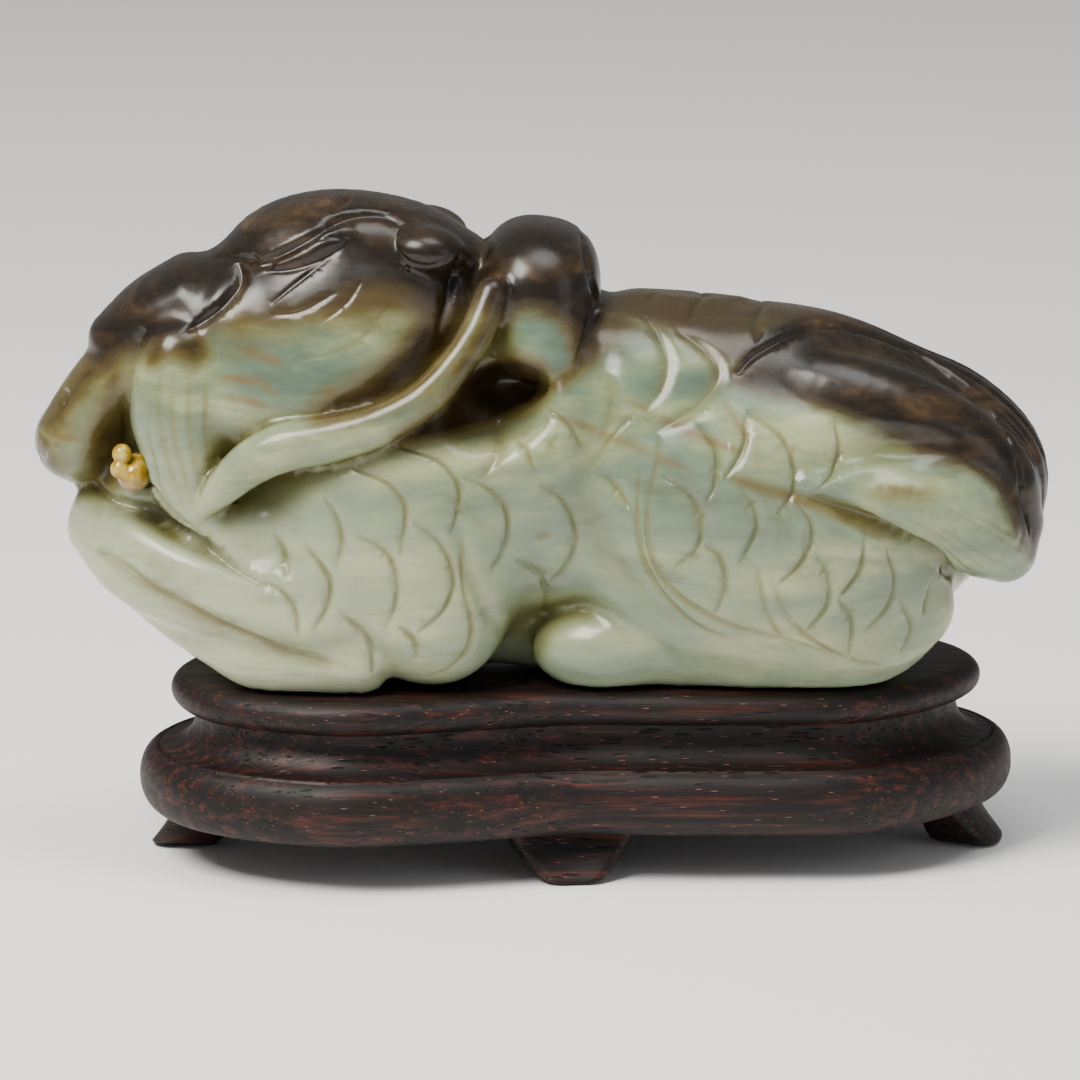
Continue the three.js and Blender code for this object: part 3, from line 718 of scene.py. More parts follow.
# The skin of the pebble that the carver kept: outlines in pixels, and how softly each one ends.
skinPatches = {
    "noseBump": ([(86, 345), (80, 318), (110, 285), (170, 235), (230, 240), (242, 268), (234, 300),
                  (200, 330),
                  (160, 340), (120, 348), (98, 362)], 18, 0.95),
    "crown": ([(228, 268), (205, 235), (290, 175), (400, 175), (485, 215), (486, 262), (464, 304), (436, 310),
               (404, 292), (372, 288), (330, 298), (285, 306), (248, 304)], 27, 0.92),
    "topknot": ([(476, 256), (490, 212), (550, 196), (604, 235), (615, 292), (602, 330), (588, 352),
                 (576, 330),
                 (555, 312), (525, 306), (500, 312), (484, 300)], 20, 0.9),
    "back": ([(595, 290), (640, 270), (800, 285), (870, 320), (800, 340), (765, 356), (738, 374), (700, 346),
              (640, 334), (606, 345)], 20, 0.5),
    "tail": ([(738, 372), (760, 330), (850, 310), (960, 340), (1060, 420), (1065, 520), (1034, 548),
              (1018, 520),
              (1000, 484), (972, 462), (920, 446), (885, 428), (807, 396), (760, 388)], 17, 1.0),
}
# Brown staining that has soaked into hollows and edges; the patch in the neck hollow is painted shade,
# darkening the deep hole behind the mane lock
stainAndShadePatches = {
    "behindLip": ([(92, 405), (106, 372), (122, 368), (124, 430), (120, 482), (98, 488),
                   (84, 470)], 14, 0.62),
    "snoutTip": ([(26, 425), (48, 446), (66, 490), (30, 480)], 24, 0.85),
    "snoutTop": ([(96, 345), (122, 352), (92, 396), (56, 436), (36, 424)], 20, 0.72),
    "flapTop": ([(146, 345), (168, 328), (200, 330), (212, 350), (196, 366), (170, 356),
                 (150, 366)], 14, 0.75),
    "behindCheek": ([(436, 262), (456, 262), (466, 300), (456, 342), (428, 378), (385, 402), (320, 418),
                     (320, 406), (366, 382), (398, 346), (426, 306)], 25, 1.0),
    # painted shade: the deep hollow between the mane lock, the topknot and the shoulder is coloured dark
    "neckHollow": ([(466, 368), (500, 358), (542, 366), (540, 398), (505, 418), (465, 430), (420, 440),
                    (396, 438), (440, 410)], 14, 1.0),
    "lockEdge": ([(486, 262), (506, 262), (508, 300), (486, 352), (452, 396), (418, 416), (440, 386),
                  (466, 340), (484, 300)], 10, 0.62),
    "pawGroove": ([(100, 552), (160, 582), (250, 628), (330, 655), (330, 668), (240, 645),
                   (150, 598)], 9, 0.28),
    "topknotSide": ([(566, 318), (596, 320), (590, 362), (560, 392), (540, 390), (572, 362)], 12, 0.7),
    "crownEdge": ([(250, 270), (300, 280), (372, 270), (430, 280), (452, 300), (438, 330), (402, 320),
                   (340, 320), (280, 330), (226, 338), (214, 306)], 36, 0.62),
    "rumpVein": ([(726, 476), (770, 484), (840, 505), (900, 545), (870, 534), (800, 503),
                  (740, 485)], 7, 0.42),
    "tailLeaf": ([(870, 490), (900, 482), (935, 486), (930, 500), (890, 504)], 12, 0.35),
}

figure = {
    "netSpacing": 0.8,
    "low": [-53, -19, -2.5],
    "high": [53, 19, 51],
    "fineWithin": [0.62, 0.2],  # of a carved line's edge, where the net is halved once and twice
    "hollowShadeReach": 1.8,
    "valleyShadeReach": 5,
    "plainBelow": 0.4,  # nothing is cut this near the resting plane
    "farSideDepth": 0.8,  # the hidden side is cut a little more plainly
    "plainOnFarSide": ("shortCuts", "tailHairs"),
}


def makeFigure():
    placeRidges()
    points, triangles = netOf(carving, figure["low"], figure["high"], figure["netSpacing"])
    points = drawnOnto(carving, evened(points, triangles, 2, 0.5), 2)
    print(f"figure: net of {len(triangles)} triangles")
    groups = []
    for name, group in carvedLines.items():
        samples = lineSamples(group["lines"])
        groups.append((name, group, samples, seenOn(carving, samples[:, :2])))
    groups.append(("hiddenTracks", hiddenTracks, *trackSamples(hiddenTracks["tracks"])))
    samples = lineSamples(stoneVeins["lines"])
    groups.append(("stoneVeins", stoneVeins, samples, seenOn(carving, samples[:, :2])))
    places = np.concatenate([entry[3] for entry in groups])
    widths = np.concatenate([np.full(len(entry[3]), entry[1]["width"]) for entry in groups])
    nearSideOnly = np.concatenate(
        [np.full(len(entry[3]), entry[0] in figure["plainOnFarSide"]) for entry in groups]
    )
    tree = KDTree(len(places))
    for i, place in enumerate(places):
        tree.insert(place, i)
    tree.balance()
    for reach in figure["fineWithin"]:
        near = np.zeros(len(points), bool)
        for i, (x, y, z) in enumerate(points):
            _, index, away = tree.find((x, -abs(y), z))
            near[i] = away < reach + widths[index] and not (y > 0 and nearSideOnly[index])
        before = len(points)
        points, triangles = halved(points, triangles, near)
        points[before:] = drawnOnto(carving, points[before:], 2)
    print(f"figure: {len(triangles)} triangles with the carved lines refined")

    mirrored = points * [1, -1, 1]
    mirrored[:, 1] = -np.abs(points[:, 1])
    pixels = pixelOf(mirrored)
    farSide = points[:, 1] > 0
    deepest, lineStainAndShade, valleys = np.zeros(len(points)), np.zeros(len(points)), np.zeros(len(points))
    for group in softValleys.values():
        samples = lineSamples(group["lines"])
        valley, _ = cutDepth(group, samples, seenOn(carving, samples[:, :2]), mirrored, pixels)
        valleys += valley
    for name, group, samples, lineAt in groups:
        depth, stain = cutDepth(group, samples, lineAt, mirrored, pixels)
        if name == "stoneVeins":
            veined = stain
            continue
        plain = 0 if name in figure["plainOnFarSide"] else figure["farSideDepth"]
        depth = np.where(farSide, depth * plain, depth)
        deepest = np.maximum(deepest, depth)
        lineStainAndShade = np.maximum(lineStainAndShade, np.where(farSide, stain * plain, stain))
    slope = slopeOf(carving, points)
    slope /= np.maximum(np.linalg.norm(slope, axis=1, keepdims=True), 1e-6)
    # how sunk each point lies, within a short and a broad reach, used only to paint shade into the colour
    hollowShades = []
    for reach in (figure["hollowShadeReach"], figure["valleyShadeReach"]):
        hollowShades.append(np.clip(1 - carving(points + slope * reach) / reach, 0, 1))
    deepest = deepest + valleys
    deepest[points[:, 2] < figure["plainBelow"]] = 0
    points = points - slope * deepest[:, None]
    points[:, 2] = np.maximum(points[:, 2], 0)

    places = np.clip(points * share + carvingOrigin, figureLow, figureHigh)
    made = meshObject("jadeQilin", places, triangles)
    made.data.polygons.foreach_set("use_smooth", np.ones(len(triangles), bool))
    patchValues = []
    for patches in (skinPatches, stainAndShadePatches):
        value = np.zeros(len(points))
        for outline, soft, strength in patches.values():
            inside = np.clip(0.5 - insidePatch(outline, pixels) / (2 * soft), 0, 1)
            value = np.maximum(value, inside * strength)
        patchValues.append(value)
    # colour masks: the hollow and valley masks hold painted shade, and the soaked and carved-line stains hold
    # some painted shade too
    for name, values in (
        ("skin", patchValues[0]), ("soaked", patchValues[1]), ("carvedLine", lineStainAndShade), ("hollow", hollowShades[0]),
        ("valley", hollowShades[1] + 0.5 * valleys), ("vein", veined),
    ):
        layer = made.data.attributes.new(name, "FLOAT", "POINT")
        layer.data.foreach_set("value", values.astype(np.float32))
    print(f"figure: {len(points)} points, {len(triangles)} triangles")
    return made


# The stand

stand = {
    "height": 18.3,
    "footHeight": 4.7,
    "plateLength": 80.2,
    "plateDepth": 33.6,
    "plateShift": 3.7,
    "topRollHeight": 3.4,
    "topRollReach": 1.7,
    "waistInset": 2.4,
    "waistSweep": 3.0,
    "waistSweepHeight": 3.2,
    "lowerReach": 3.2,
    "lowerHeight": 6.3,
    "lowerRollReach": 1.9,
    "incisedLine": 0.35,
    "incisedWidth": 0.5,
    "rim": 0.8,  # of the flat top and underside inside their rolls
    "outlineSteps": 260,
    "footWidth": 13.6,
    "footToeWidth": 5.2,
    "footSweep": 0.65,  # below 1, the sides sweep out close to the sole
    "footDepth": 4.6,
    "footWorn": 0.25,  # the sole's rounded edge
    "footWornRise": 0.03,  # of the foot's height
    "footSink": 1,  # into the lower plate
    "footToeCorner": 1.4,
    "footHeelCorner": 0.7,
    "footHeelReach": 1,
    "footRings": 13,
    "footCornerSteps": 6,
    "footSideSteps": 6,
    "footShortSide": 1.2,  # sides shorter than this stay one step
    "footToeReach": 2.6,
    "footTuck": 0.6,
    "sideFootOffset": 3.6,
    "endFootOffset": 2.5,
}
planShares = [
    (-1, -0.12), (-0.9, -0.68), (-0.6, -1.02), (-0.3, -0.92), (-0.03, -0.76), (0.33, -0.76), (0.68, -0.7),
    (0.9, -0.3), (1, 0.25), (0.9, 0.78), (0.6, 1), (0.22, 0.92), (-0.1, 0.88), (-0.4, 0.92), (-0.72, 0.86),
    (-0.94, 0.4),
]
planTrack = smoothPath(
    [
        (stand["plateShift"] + x * stand["plateLength"] / 2, y * stand["plateDepth"] / 2, 0)
        for x, y in planShares
    ],
    60,
    closed=True,
)[:, :2]
planTrack = np.vstack([planTrack, planTrack[:1]])
planLengths = np.concatenate([[0], np.cumsum(np.linalg.norm(np.diff(planTrack, axis=0), axis=1))])


def planPoints(alongs, out):
    # points of the plan's outline, moved outwards, in millimetres of the stand's own plan
    at = np.mod(alongs, 1) * planLengths[-1]
    here = np.stack([np.interp(at, planLengths, planTrack[:, i]) for i in range(2)], 1)
    step = 0.3
    ahead = np.stack(
        [np.interp(np.mod(at + step, planLengths[-1]), planLengths, planTrack[:, i]) for i in range(2)], 1
    )
    behind = np.stack(
        [np.interp(np.mod(at - step, planLengths[-1]), planLengths, planTrack[:, i]) for i in range(2)], 1
    )
    along = ahead - behind
    along /= np.linalg.norm(along, axis=1, keepdims=True)
    return here + np.stack([along[:, 1], -along[:, 0]], 1) * np.reshape(out, (-1, 1))


def mouldingProfile():
    # from the underside to the top, as [reach beyond the top plate, height]
    s = stand
    rim = s["rim"]

    def rollStretch(reach, depth, base, height, first, last, steps):
        angles = np.radians(np.linspace(first, last, steps))
        return [
            (reach - depth + depth * math.cos(a), base + height / 2 * (1 + math.sin(a))) for a in angles
        ]

    shoulder = s["footHeight"] + s["lowerHeight"]
    lowerEdge = s["lowerReach"] - s["lowerRollReach"]
    profile = [(lowerEdge - rim, s["footHeight"]), (lowerEdge - 0.2, s["footHeight"])]
    profile += rollStretch(
        s["lowerReach"], s["lowerRollReach"], s["footHeight"], s["lowerHeight"], -80, 76, 15
    )
    line, half = s["incisedLine"], s["incisedWidth"] / 2
    profile += [(lowerEdge + half, shoulder - line * 0.4), (lowerEdge, shoulder - line)]
    profile.append((lowerEdge - half, shoulder))
    for angle in np.radians(np.linspace(8, 90, 9)):
        profile.append((
            s["waistSweep"] * (1 - math.sin(angle)) - s["waistInset"],
            shoulder + s["waistSweepHeight"] * (1 - math.cos(angle)),
        ))
    profile.append((-s["waistInset"], s["height"] - s["topRollHeight"] + 0.05))
    profile += rollStretch(
        0, s["topRollReach"], s["height"] - s["topRollHeight"], s["topRollHeight"], -60, 88, 13
    )
    profile.append((-s["topRollReach"] - rim, s["height"]))
    return profile


def carveLoft(name, rings):
    # a grid rolled into a closed skin through rings of points, with flat ends
    count = len(rings[0])
    bpy.ops.mesh.primitive_grid_add(x_subdivisions=count, y_subdivisions=len(rings) - 1, size=1)
    made = bpy.context.object
    made.name = made.data.name = name
    columns = count + 1
    places = np.zeros((len(made.data.vertices), 3))
    for row, ring in enumerate(rings):
        for i in range(columns):
            places[row * columns + i] = ring[i % count]
    made.data.vertices.foreach_set("co", (places * millimetre).ravel())
    bpy.ops.object.mode_set(mode="EDIT")
    bpy.ops.mesh.select_all(action="SELECT")
    bpy.ops.mesh.remove_doubles(threshold=1e-7)
    bpy.ops.mesh.select_all(action="DESELECT")
    bpy.ops.mesh.select_non_manifold()
    bpy.ops.mesh.fill_holes(sides=0)
    bpy.ops.mesh.select_all(action="SELECT")
    bpy.ops.mesh.normals_make_consistent(inside=False)
    bpy.ops.object.mode_set(mode="OBJECT")
    made.select_set(False)
    return made


def makeFoot(along):
    # a bracket foot that follows the edge and curves out to a flat toe
    s = stand
    toeCorner, heelCorner = s["footToeCorner"], s["footHeelCorner"]
    rings = []
    for rise in np.concatenate([[0, 0.015], np.linspace(0.2, 1, s["footRings"]) ** 1.8]):
        flare = (1 - rise) ** 1.5
        outer = -s["footTuck"] + flare * (s["footToeReach"] + s["footTuck"])
        inner = s["footHeelReach"] * flare - s["footTuck"] - s["footDepth"]
        half = (s["footToeWidth"] + (s["footWidth"] - s["footToeWidth"]) * rise ** s["footSweep"]) / 2
        worn = s["footWorn"] * max(1 - rise / s["footWornRise"], 0)
        outer, inner, half = outer - worn, inner + worn, half - worn
        corners = []
        for x, y, corner, turn in (
            (toeCorner - half, outer - toeCorner, toeCorner, 180),
            (half - toeCorner, outer - toeCorner, toeCorner, 90),
            (half - heelCorner, inner + heelCorner, heelCorner, 0),
            (heelCorner - half, inner + heelCorner, heelCorner, -90),
        ):
            for angle in np.radians(np.linspace(turn, turn - 90, s["footCornerSteps"])):
                corners.append((x + corner * math.cos(angle), y + corner * math.sin(angle)))
        ring = []
        for a, b in zip(corners, corners[1:] + corners[:1]):
            steps = s["footSideSteps"] if math.dist(a, b) > s["footShortSide"] else 1
            for t in np.linspace(0, 1, steps, endpoint=False):
                ring.append((a[0] + t * (b[0] - a[0]), a[1] + t * (b[1] - a[1])))
        ring = np.array(ring)
        plan = planPoints(along + ring[:, 0] / planLengths[-1], ring[:, 1])
        height = np.full(len(ring), rise * (s["footHeight"] + s["footSink"]))
        rings.append(np.column_stack([plan, height]))
    return carveLoft("foot", rings)


def nearestAlong(x, y):
    gap = np.linalg.norm(planTrack - [x, y], axis=1)
    return planLengths[gap.argmin()] / planLengths[-1]


def makeStand():
    s = stand
    low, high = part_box("wood_stand")
    alongs = np.arange(s["outlineSteps"]) / s["outlineSteps"]
    rings = [
        np.column_stack([planPoints(alongs, out), np.full(len(alongs), height)])
        for out, height in mouldingProfile()
    ]
    body = carveLoft("rosewoodStand", rings)
    ends = s["plateShift"] - s["plateLength"] / 2, s["plateShift"] + s["plateLength"] / 2
    feet = [
        (ends[0], s["endFootOffset"]), (s["sideFootOffset"], -s["plateDepth"] / 2),
        (ends[1], s["endFootOffset"]), (s["sideFootOffset"], s["plateDepth"] / 2),
    ]
    for x, y in feet:
        foot = makeFoot(nearestAlong(x, y))
        union = body.modifiers.new("foot", "BOOLEAN")
        union.operation, union.solver, union.object = "UNION", "EXACT", foot
        bpy.context.view_layer.objects.active = body
        bpy.ops.object.modifier_apply(modifier=union.name)
        bpy.data.objects.remove(foot)
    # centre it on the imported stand
    co = np.empty(len(body.data.vertices) * 3)
    body.data.vertices.foreach_get("co", co)
    co = co.reshape(-1, 3)
    middle = (co.min(0) + co.max(0)) / 2
    co[:, 0] += (low.x + high.x) / 2 - middle[0]
    co[:, 1] += (low.y + high.y) / 2 - middle[1]
    co = np.clip(co, low, high)
    body.data.vertices.foreach_set("co", co.ravel())
    body.select_set(True)
    bpy.context.view_layer.objects.active = body
    bpy.ops.object.shade_smooth_by_angle(angle=math.radians(35))
    body.select_set(False)
    print(f"stand: {len(body.data.polygons)} faces")
    return body


# The resin with its two beads

resin = {
    "beads": [(-40.5, -9.6, 23.1), (-40.7, -9.7, 21.6)],
    "beadRadius": 0.97,
    "lump": (-39.4, -8, 20.9),
    "lumpRadii": (1.7, 2.6, 1.9),
    "lumpTilt": -35,
}


def makeResin():
    parts = []
    for place in resin["beads"]:
        bpy.ops.mesh.primitive_uv_sphere_add(
            segments=48, ring_count=24, radius=resin["beadRadius"] * share,
            location=np.array(place) * share + carvingOrigin,
        )
        parts.append(bpy.context.object)
    bpy.ops.mesh.primitive_uv_sphere_add(segments=48, ring_count=24, radius=1)
    lump = bpy.context.object
    lump.scale = [radius * share for radius in resin["lumpRadii"]]
    lump.rotation_euler = (0, -math.radians(resin["lumpTilt"]), 0)
    lump.location = np.array(resin["lump"]) * share + carvingOrigin
    parts.append(lump)
    for part in parts:
        part.select_set(True)
    bpy.context.view_layer.objects.active = lump
    bpy.ops.object.transform_apply(location=True, rotation=True, scale=True)
    bpy.ops.object.join()
    lump.name = lump.data.name = "mouthResin"
    remesh = lump.modifiers.new("fused", "REMESH")
    remesh.mode, remesh.voxel_size = "VOXEL", 0.09 * millimetre
    bpy.ops.object.modifier_apply(modifier=remesh.name)
    smooth = lump.modifiers.new("softened", "SMOOTH")
    smooth.factor, smooth.iterations = 0.5, 4
    bpy.ops.object.modifier_apply(modifier=smooth.name)
    bpy.ops.object.shade_smooth()
    lump.select_set(False)
    print(f"resin: {len(lump.data.polygons)} faces")
    return lump


# Materials


def linear(hexColour):
    values = [int(hexColour[i:i + 2], 16) / 255 for i in (1, 3, 5)]
    return [v / 12.92 if v <= 0.04045 else ((v + 0.055) / 1.055) ** 2.4 for v in values] + [1]


def newMaterial(name):
    material = bpy.data.materials.new(name)
    material.use_nodes = True
    material.node_tree.nodes.clear()
    return material


def addNode(material, kind, settings=None, inputs=None):
    # one node: settings are its properties, inputs are values or (node, output) links
    tree = material.node_tree
    node = tree.nodes.new(kind)
    for key, value in (settings or {}).items():
        setattr(node, key, value)
    for key, value in (inputs or {}).items():
        if isinstance(value, tuple) and len(value) == 2 and isinstance(value[0], bpy.types.Node):
            tree.links.new(value[0].outputs[value[1]], node.inputs[key])
        else:
            node.inputs[key].default_value = value
    return node


def ramp(material, source, stops):
    node = addNode(material, "ShaderNodeValToRGB", inputs={"Fac": source})
    elements = node.color_ramp.elements
    node.color_ramp.interpolation = "LINEAR"
    while len(elements) < len(stops):
        elements.new(0.5)
    for element, (place, colour) in zip(elements, stops):
        element.position = place
        element.color = linear(colour) if isinstance(colour, str) else (colour, colour, colour, 1)
    return node


def jadeMaterial():
    # nephrite pebble: waxy polish over a cloudy celadon body, with the river skin kept dark on the heights
    m = newMaterial("polishedNephrite")
    place = addNode(m, "ShaderNodeTexCoord")
    grained = addNode(m, "ShaderNodeMapping", {"vector_type": "POINT"}, {
        "Vector": (place, "Object"), "Rotation": (0, math.radians(24), 0), "Scale": (1, 1.6, 3.2),
    })
    clouds = addNode(m, "ShaderNodeTexNoise", inputs={
        "Vector": (grained, "Vector"), "Scale": 62, "Detail": 7, "Roughness": 0.6, "Distortion": 0.35,
    })
    body = ramp(m, (clouds, "Fac"), [
        (0.35, "#536657"), (0.46, "#637762"), (0.55, "#7a8766"), (0.67, "#9ca27b"),
    ])
    # low places of the beast are paler and milkier, partly the stone's own tone and partly painted light: the
    # low front, lit by the key light and the floor's bounce, is made palest and the low back end only a
    # little paler
    height = addNode(m, "ShaderNodeSeparateXYZ", inputs={"Vector": (place, "Object")})
    lowness = addNode(m, "ShaderNodeMapRange", inputs={
        "Value": (height, "Z"), "From Min": 0.05, "From Max": 0.026, "To Min": 0.0, "To Max": 1.0,
    })
    frontness = addNode(m, "ShaderNodeMapRange", inputs={
        "Value": (height, "X"), "From Min": 0.0, "From Max": -0.034, "To Min": 0.28, "To Max": 0.9,
    })
    milkAndPaintedLight = addNode(m, "ShaderNodeMath", {"operation": "MULTIPLY"}, {
        0: (lowness, "Result"), 1: (frontness, "Result"),
    })
    palerAndLit = addNode(m, "ShaderNodeMix", {"data_type": "RGBA"}, {
        "Factor": (milkAndPaintedLight, "Value"), "A": (body, "Color"), "B": linear("#b5ba9b"),
    })
    # painted shade: olive darkening in the broad hollows and soft valleys, standing in for the light they
    # lose, with a little of the stone's olive stain
    valley = addNode(m, "ShaderNodeAttribute", {"attribute_name": "valley"})
    valleyShadeAmount = ramp(m, (valley, "Fac"), [(0.2, 0.0), (0.5, 0.4), (0.85, 0.8)])
    shaded = addNode(m, "ShaderNodeMix", {"data_type": "RGBA"}, {
        "Factor": (valleyShadeAmount, "Color"), "A": (palerAndLit, "Result"), "B": linear("#67683e"),
    })
    # russet veins, where iron has got into fine cracks
    vein = addNode(m, "ShaderNodeAttribute", {"attribute_name": "vein"})
    broken = addNode(m, "ShaderNodeTexNoise", inputs={"Vector": (place, "Object"), "Scale": 420, "Detail": 2})
    brokenAmount = ramp(m, (broken, "Fac"), [(0.3, 0.35), (0.6, 1.0)])
    veinAmount = addNode(m, "ShaderNodeMath", {"operation": "MULTIPLY", "use_clamp": True}, {
        0: (vein, "Fac"), 1: (brokenAmount, "Color"),
    })
    veined = addNode(m, "ShaderNodeMix", {"data_type": "RGBA"}, {
        "Factor": (veinAmount, "Value"), "A": (shaded, "Result"), "B": linear("#76572e"),
    })
    # stain in the cut lines, broken up as dirt is; along the crease under the tail leaf it is painted shade
    line = addNode(m, "ShaderNodeAttribute", {"attribute_name": "carvedLine"})
    lineAmount = addNode(m, "ShaderNodeMath", {"operation": "MULTIPLY", "use_clamp": True}, {
        0: (line, "Fac"), 1: (brokenAmount, "Color"),
    })
    lined = addNode(m, "ShaderNodeMix", {"data_type": "RGBA"}, {
        "Factor": (lineAmount, "Value"), "A": (veined, "Result"), "B": linear("#76713f"),
    })
    # painted shade, dark olive, in the creases and recesses; then olive and brown stain soaked into hollows
    # and edges, with the patch in the neck hollow painted shade too
    soaked = addNode(m, "ShaderNodeAttribute", {"attribute_name": "soaked"})
    hollow = addNode(m, "ShaderNodeAttribute", {"attribute_name": "hollow"})
    blotch = addNode(m, "ShaderNodeTexNoise", inputs={
        "Vector": (grained, "Vector"), "Scale": 130, "Detail": 4, "Roughness": 0.6,
    })
    blotched = addNode(m, "ShaderNodeMath", {"operation": "MULTIPLY_ADD"}, {
        0: (blotch, "Fac"), 1: 0.5, 2: (soaked, "Fac"),
    })
    hollowShadeAmount = ramp(m, (hollow, "Fac"), [(0.25, 0.0), (0.6, 0.35), (0.95, 0.85)])
    hollowShadeColour = addNode(m, "ShaderNodeMix", {"data_type": "RGBA"}, {
        "Factor": (hollowShadeAmount, "Color"), "A": (lined, "Result"), "B": linear("#4f4a20"),
    })
    oliveAmount = ramp(m, (blotched, "Value"), [(0.32, 0.0), (0.5, 0.45), (0.75, 0.95)])
    olive = addNode(m, "ShaderNodeMix", {"data_type": "RGBA"}, {
        "Factor": (oliveAmount, "Color"), "A": (hollowShadeColour, "Result"), "B": linear("#61542a"),
    })
    umberAmount = ramp(m, (blotched, "Value"), [(0.62, 0.0), (0.85, 0.5), (1.0, 0.93)])
    umber = addNode(m, "ShaderNodeMix", {"data_type": "RGBA"}, {
        "Factor": (umberAmount, "Color"), "A": (olive, "Result"), "B": linear("#24160a"),
    })
    # the river skin, which thins out through brown
    skin = addNode(m, "ShaderNodeAttribute", {"attribute_name": "skin"})
    skinNoise = addNode(m, "ShaderNodeTexNoise", inputs={
        "Vector": (grained, "Vector"), "Scale": 95, "Detail": 7, "Roughness": 0.68, "Distortion": 0.5,
    })
    skinEdge = addNode(m, "ShaderNodeMath", {"operation": "MULTIPLY_ADD"}, {
        0: (skinNoise, "Fac"), 1: 0.7, 2: (skin, "Fac"),
    })
    thinSkin = ramp(m, (skinEdge, "Value"), [(0.38, 0.0), (0.55, 0.5), (0.75, 0.92)])
    brownEdge = addNode(m, "ShaderNodeMix", {"data_type": "RGBA"}, {
        "Factor": (thinSkin, "Color"), "A": (umber, "Result"), "B": linear("#4c3f28"),
    })
    thickSkin = ramp(m, (skinEdge, "Value"), [(0.62, 0.0), (0.85, 0.55), (1.0, 0.95)])
    skinTone = ramp(m, (skinNoise, "Fac"), [
        (0.34, "#0a0705"), (0.48, "#19110b"), (0.6, "#332517"), (0.72, "#564127"),
    ])
    skinned = addNode(m, "ShaderNodeMix", {"data_type": "RGBA"}, {
        "Factor": (thickSkin, "Color"), "A": (brownEdge, "Result"), "B": (skinTone, "Color"),
    })
    # tiny dark pits
    pits = addNode(m, "ShaderNodeTexVoronoi", inputs={
        "Vector": (place, "Object"), "Scale": 260, "Randomness": 1,
    })
    pitAmount = ramp(m, (pits, "Distance"), [(0.0, 0.6), (0.055, 0.0)])
    pitted = addNode(m, "ShaderNodeMix", {"data_type": "RGBA"}, {
        "Factor": (pitAmount, "Color"), "A": (skinned, "Result"), "B": linear("#4a4630"),
    })
    wear = addNode(m, "ShaderNodeTexNoise", inputs={"Vector": (place, "Object"), "Scale": 900, "Detail": 2})
    polish = addNode(m, "ShaderNodeMapRange", inputs={
        "Value": (wear, "Fac"), "From Min": 0.3, "From Max": 0.7, "To Min": 0.19, "To Max": 0.26,
    })
    dulled = addNode(m, "ShaderNodeMath", {"operation": "MULTIPLY_ADD"}, {
        0: (thickSkin, "Color"), 1: 0.07, 2: (polish, "Result"),
    })
    undulation = addNode(m, "ShaderNodeTexNoise", inputs={
        "Vector": (place, "Object"), "Scale": 190, "Detail": 2,
    })
    waxy = addNode(m, "ShaderNodeBump", inputs={
        "Height": (undulation, "Fac"), "Strength": 0.12, "Distance": 0.0006,
    })
    shader = addNode(m, "ShaderNodeBsdfPrincipled", inputs={
        "Base Color": (pitted, "Result"), "Roughness": (dulled, "Value"), "IOR": 1.61, "Normal": (waxy,
        "Normal"),
        "Subsurface Weight": 0.3, "Subsurface Radius": (1.0, 1.1, 0.75), "Subsurface Scale": 0.0022,
        "Specular IOR Level": 0.31,
    })
    addNode(m, "ShaderNodeOutputMaterial", inputs={"Surface": (shader, "BSDF")})
    return m


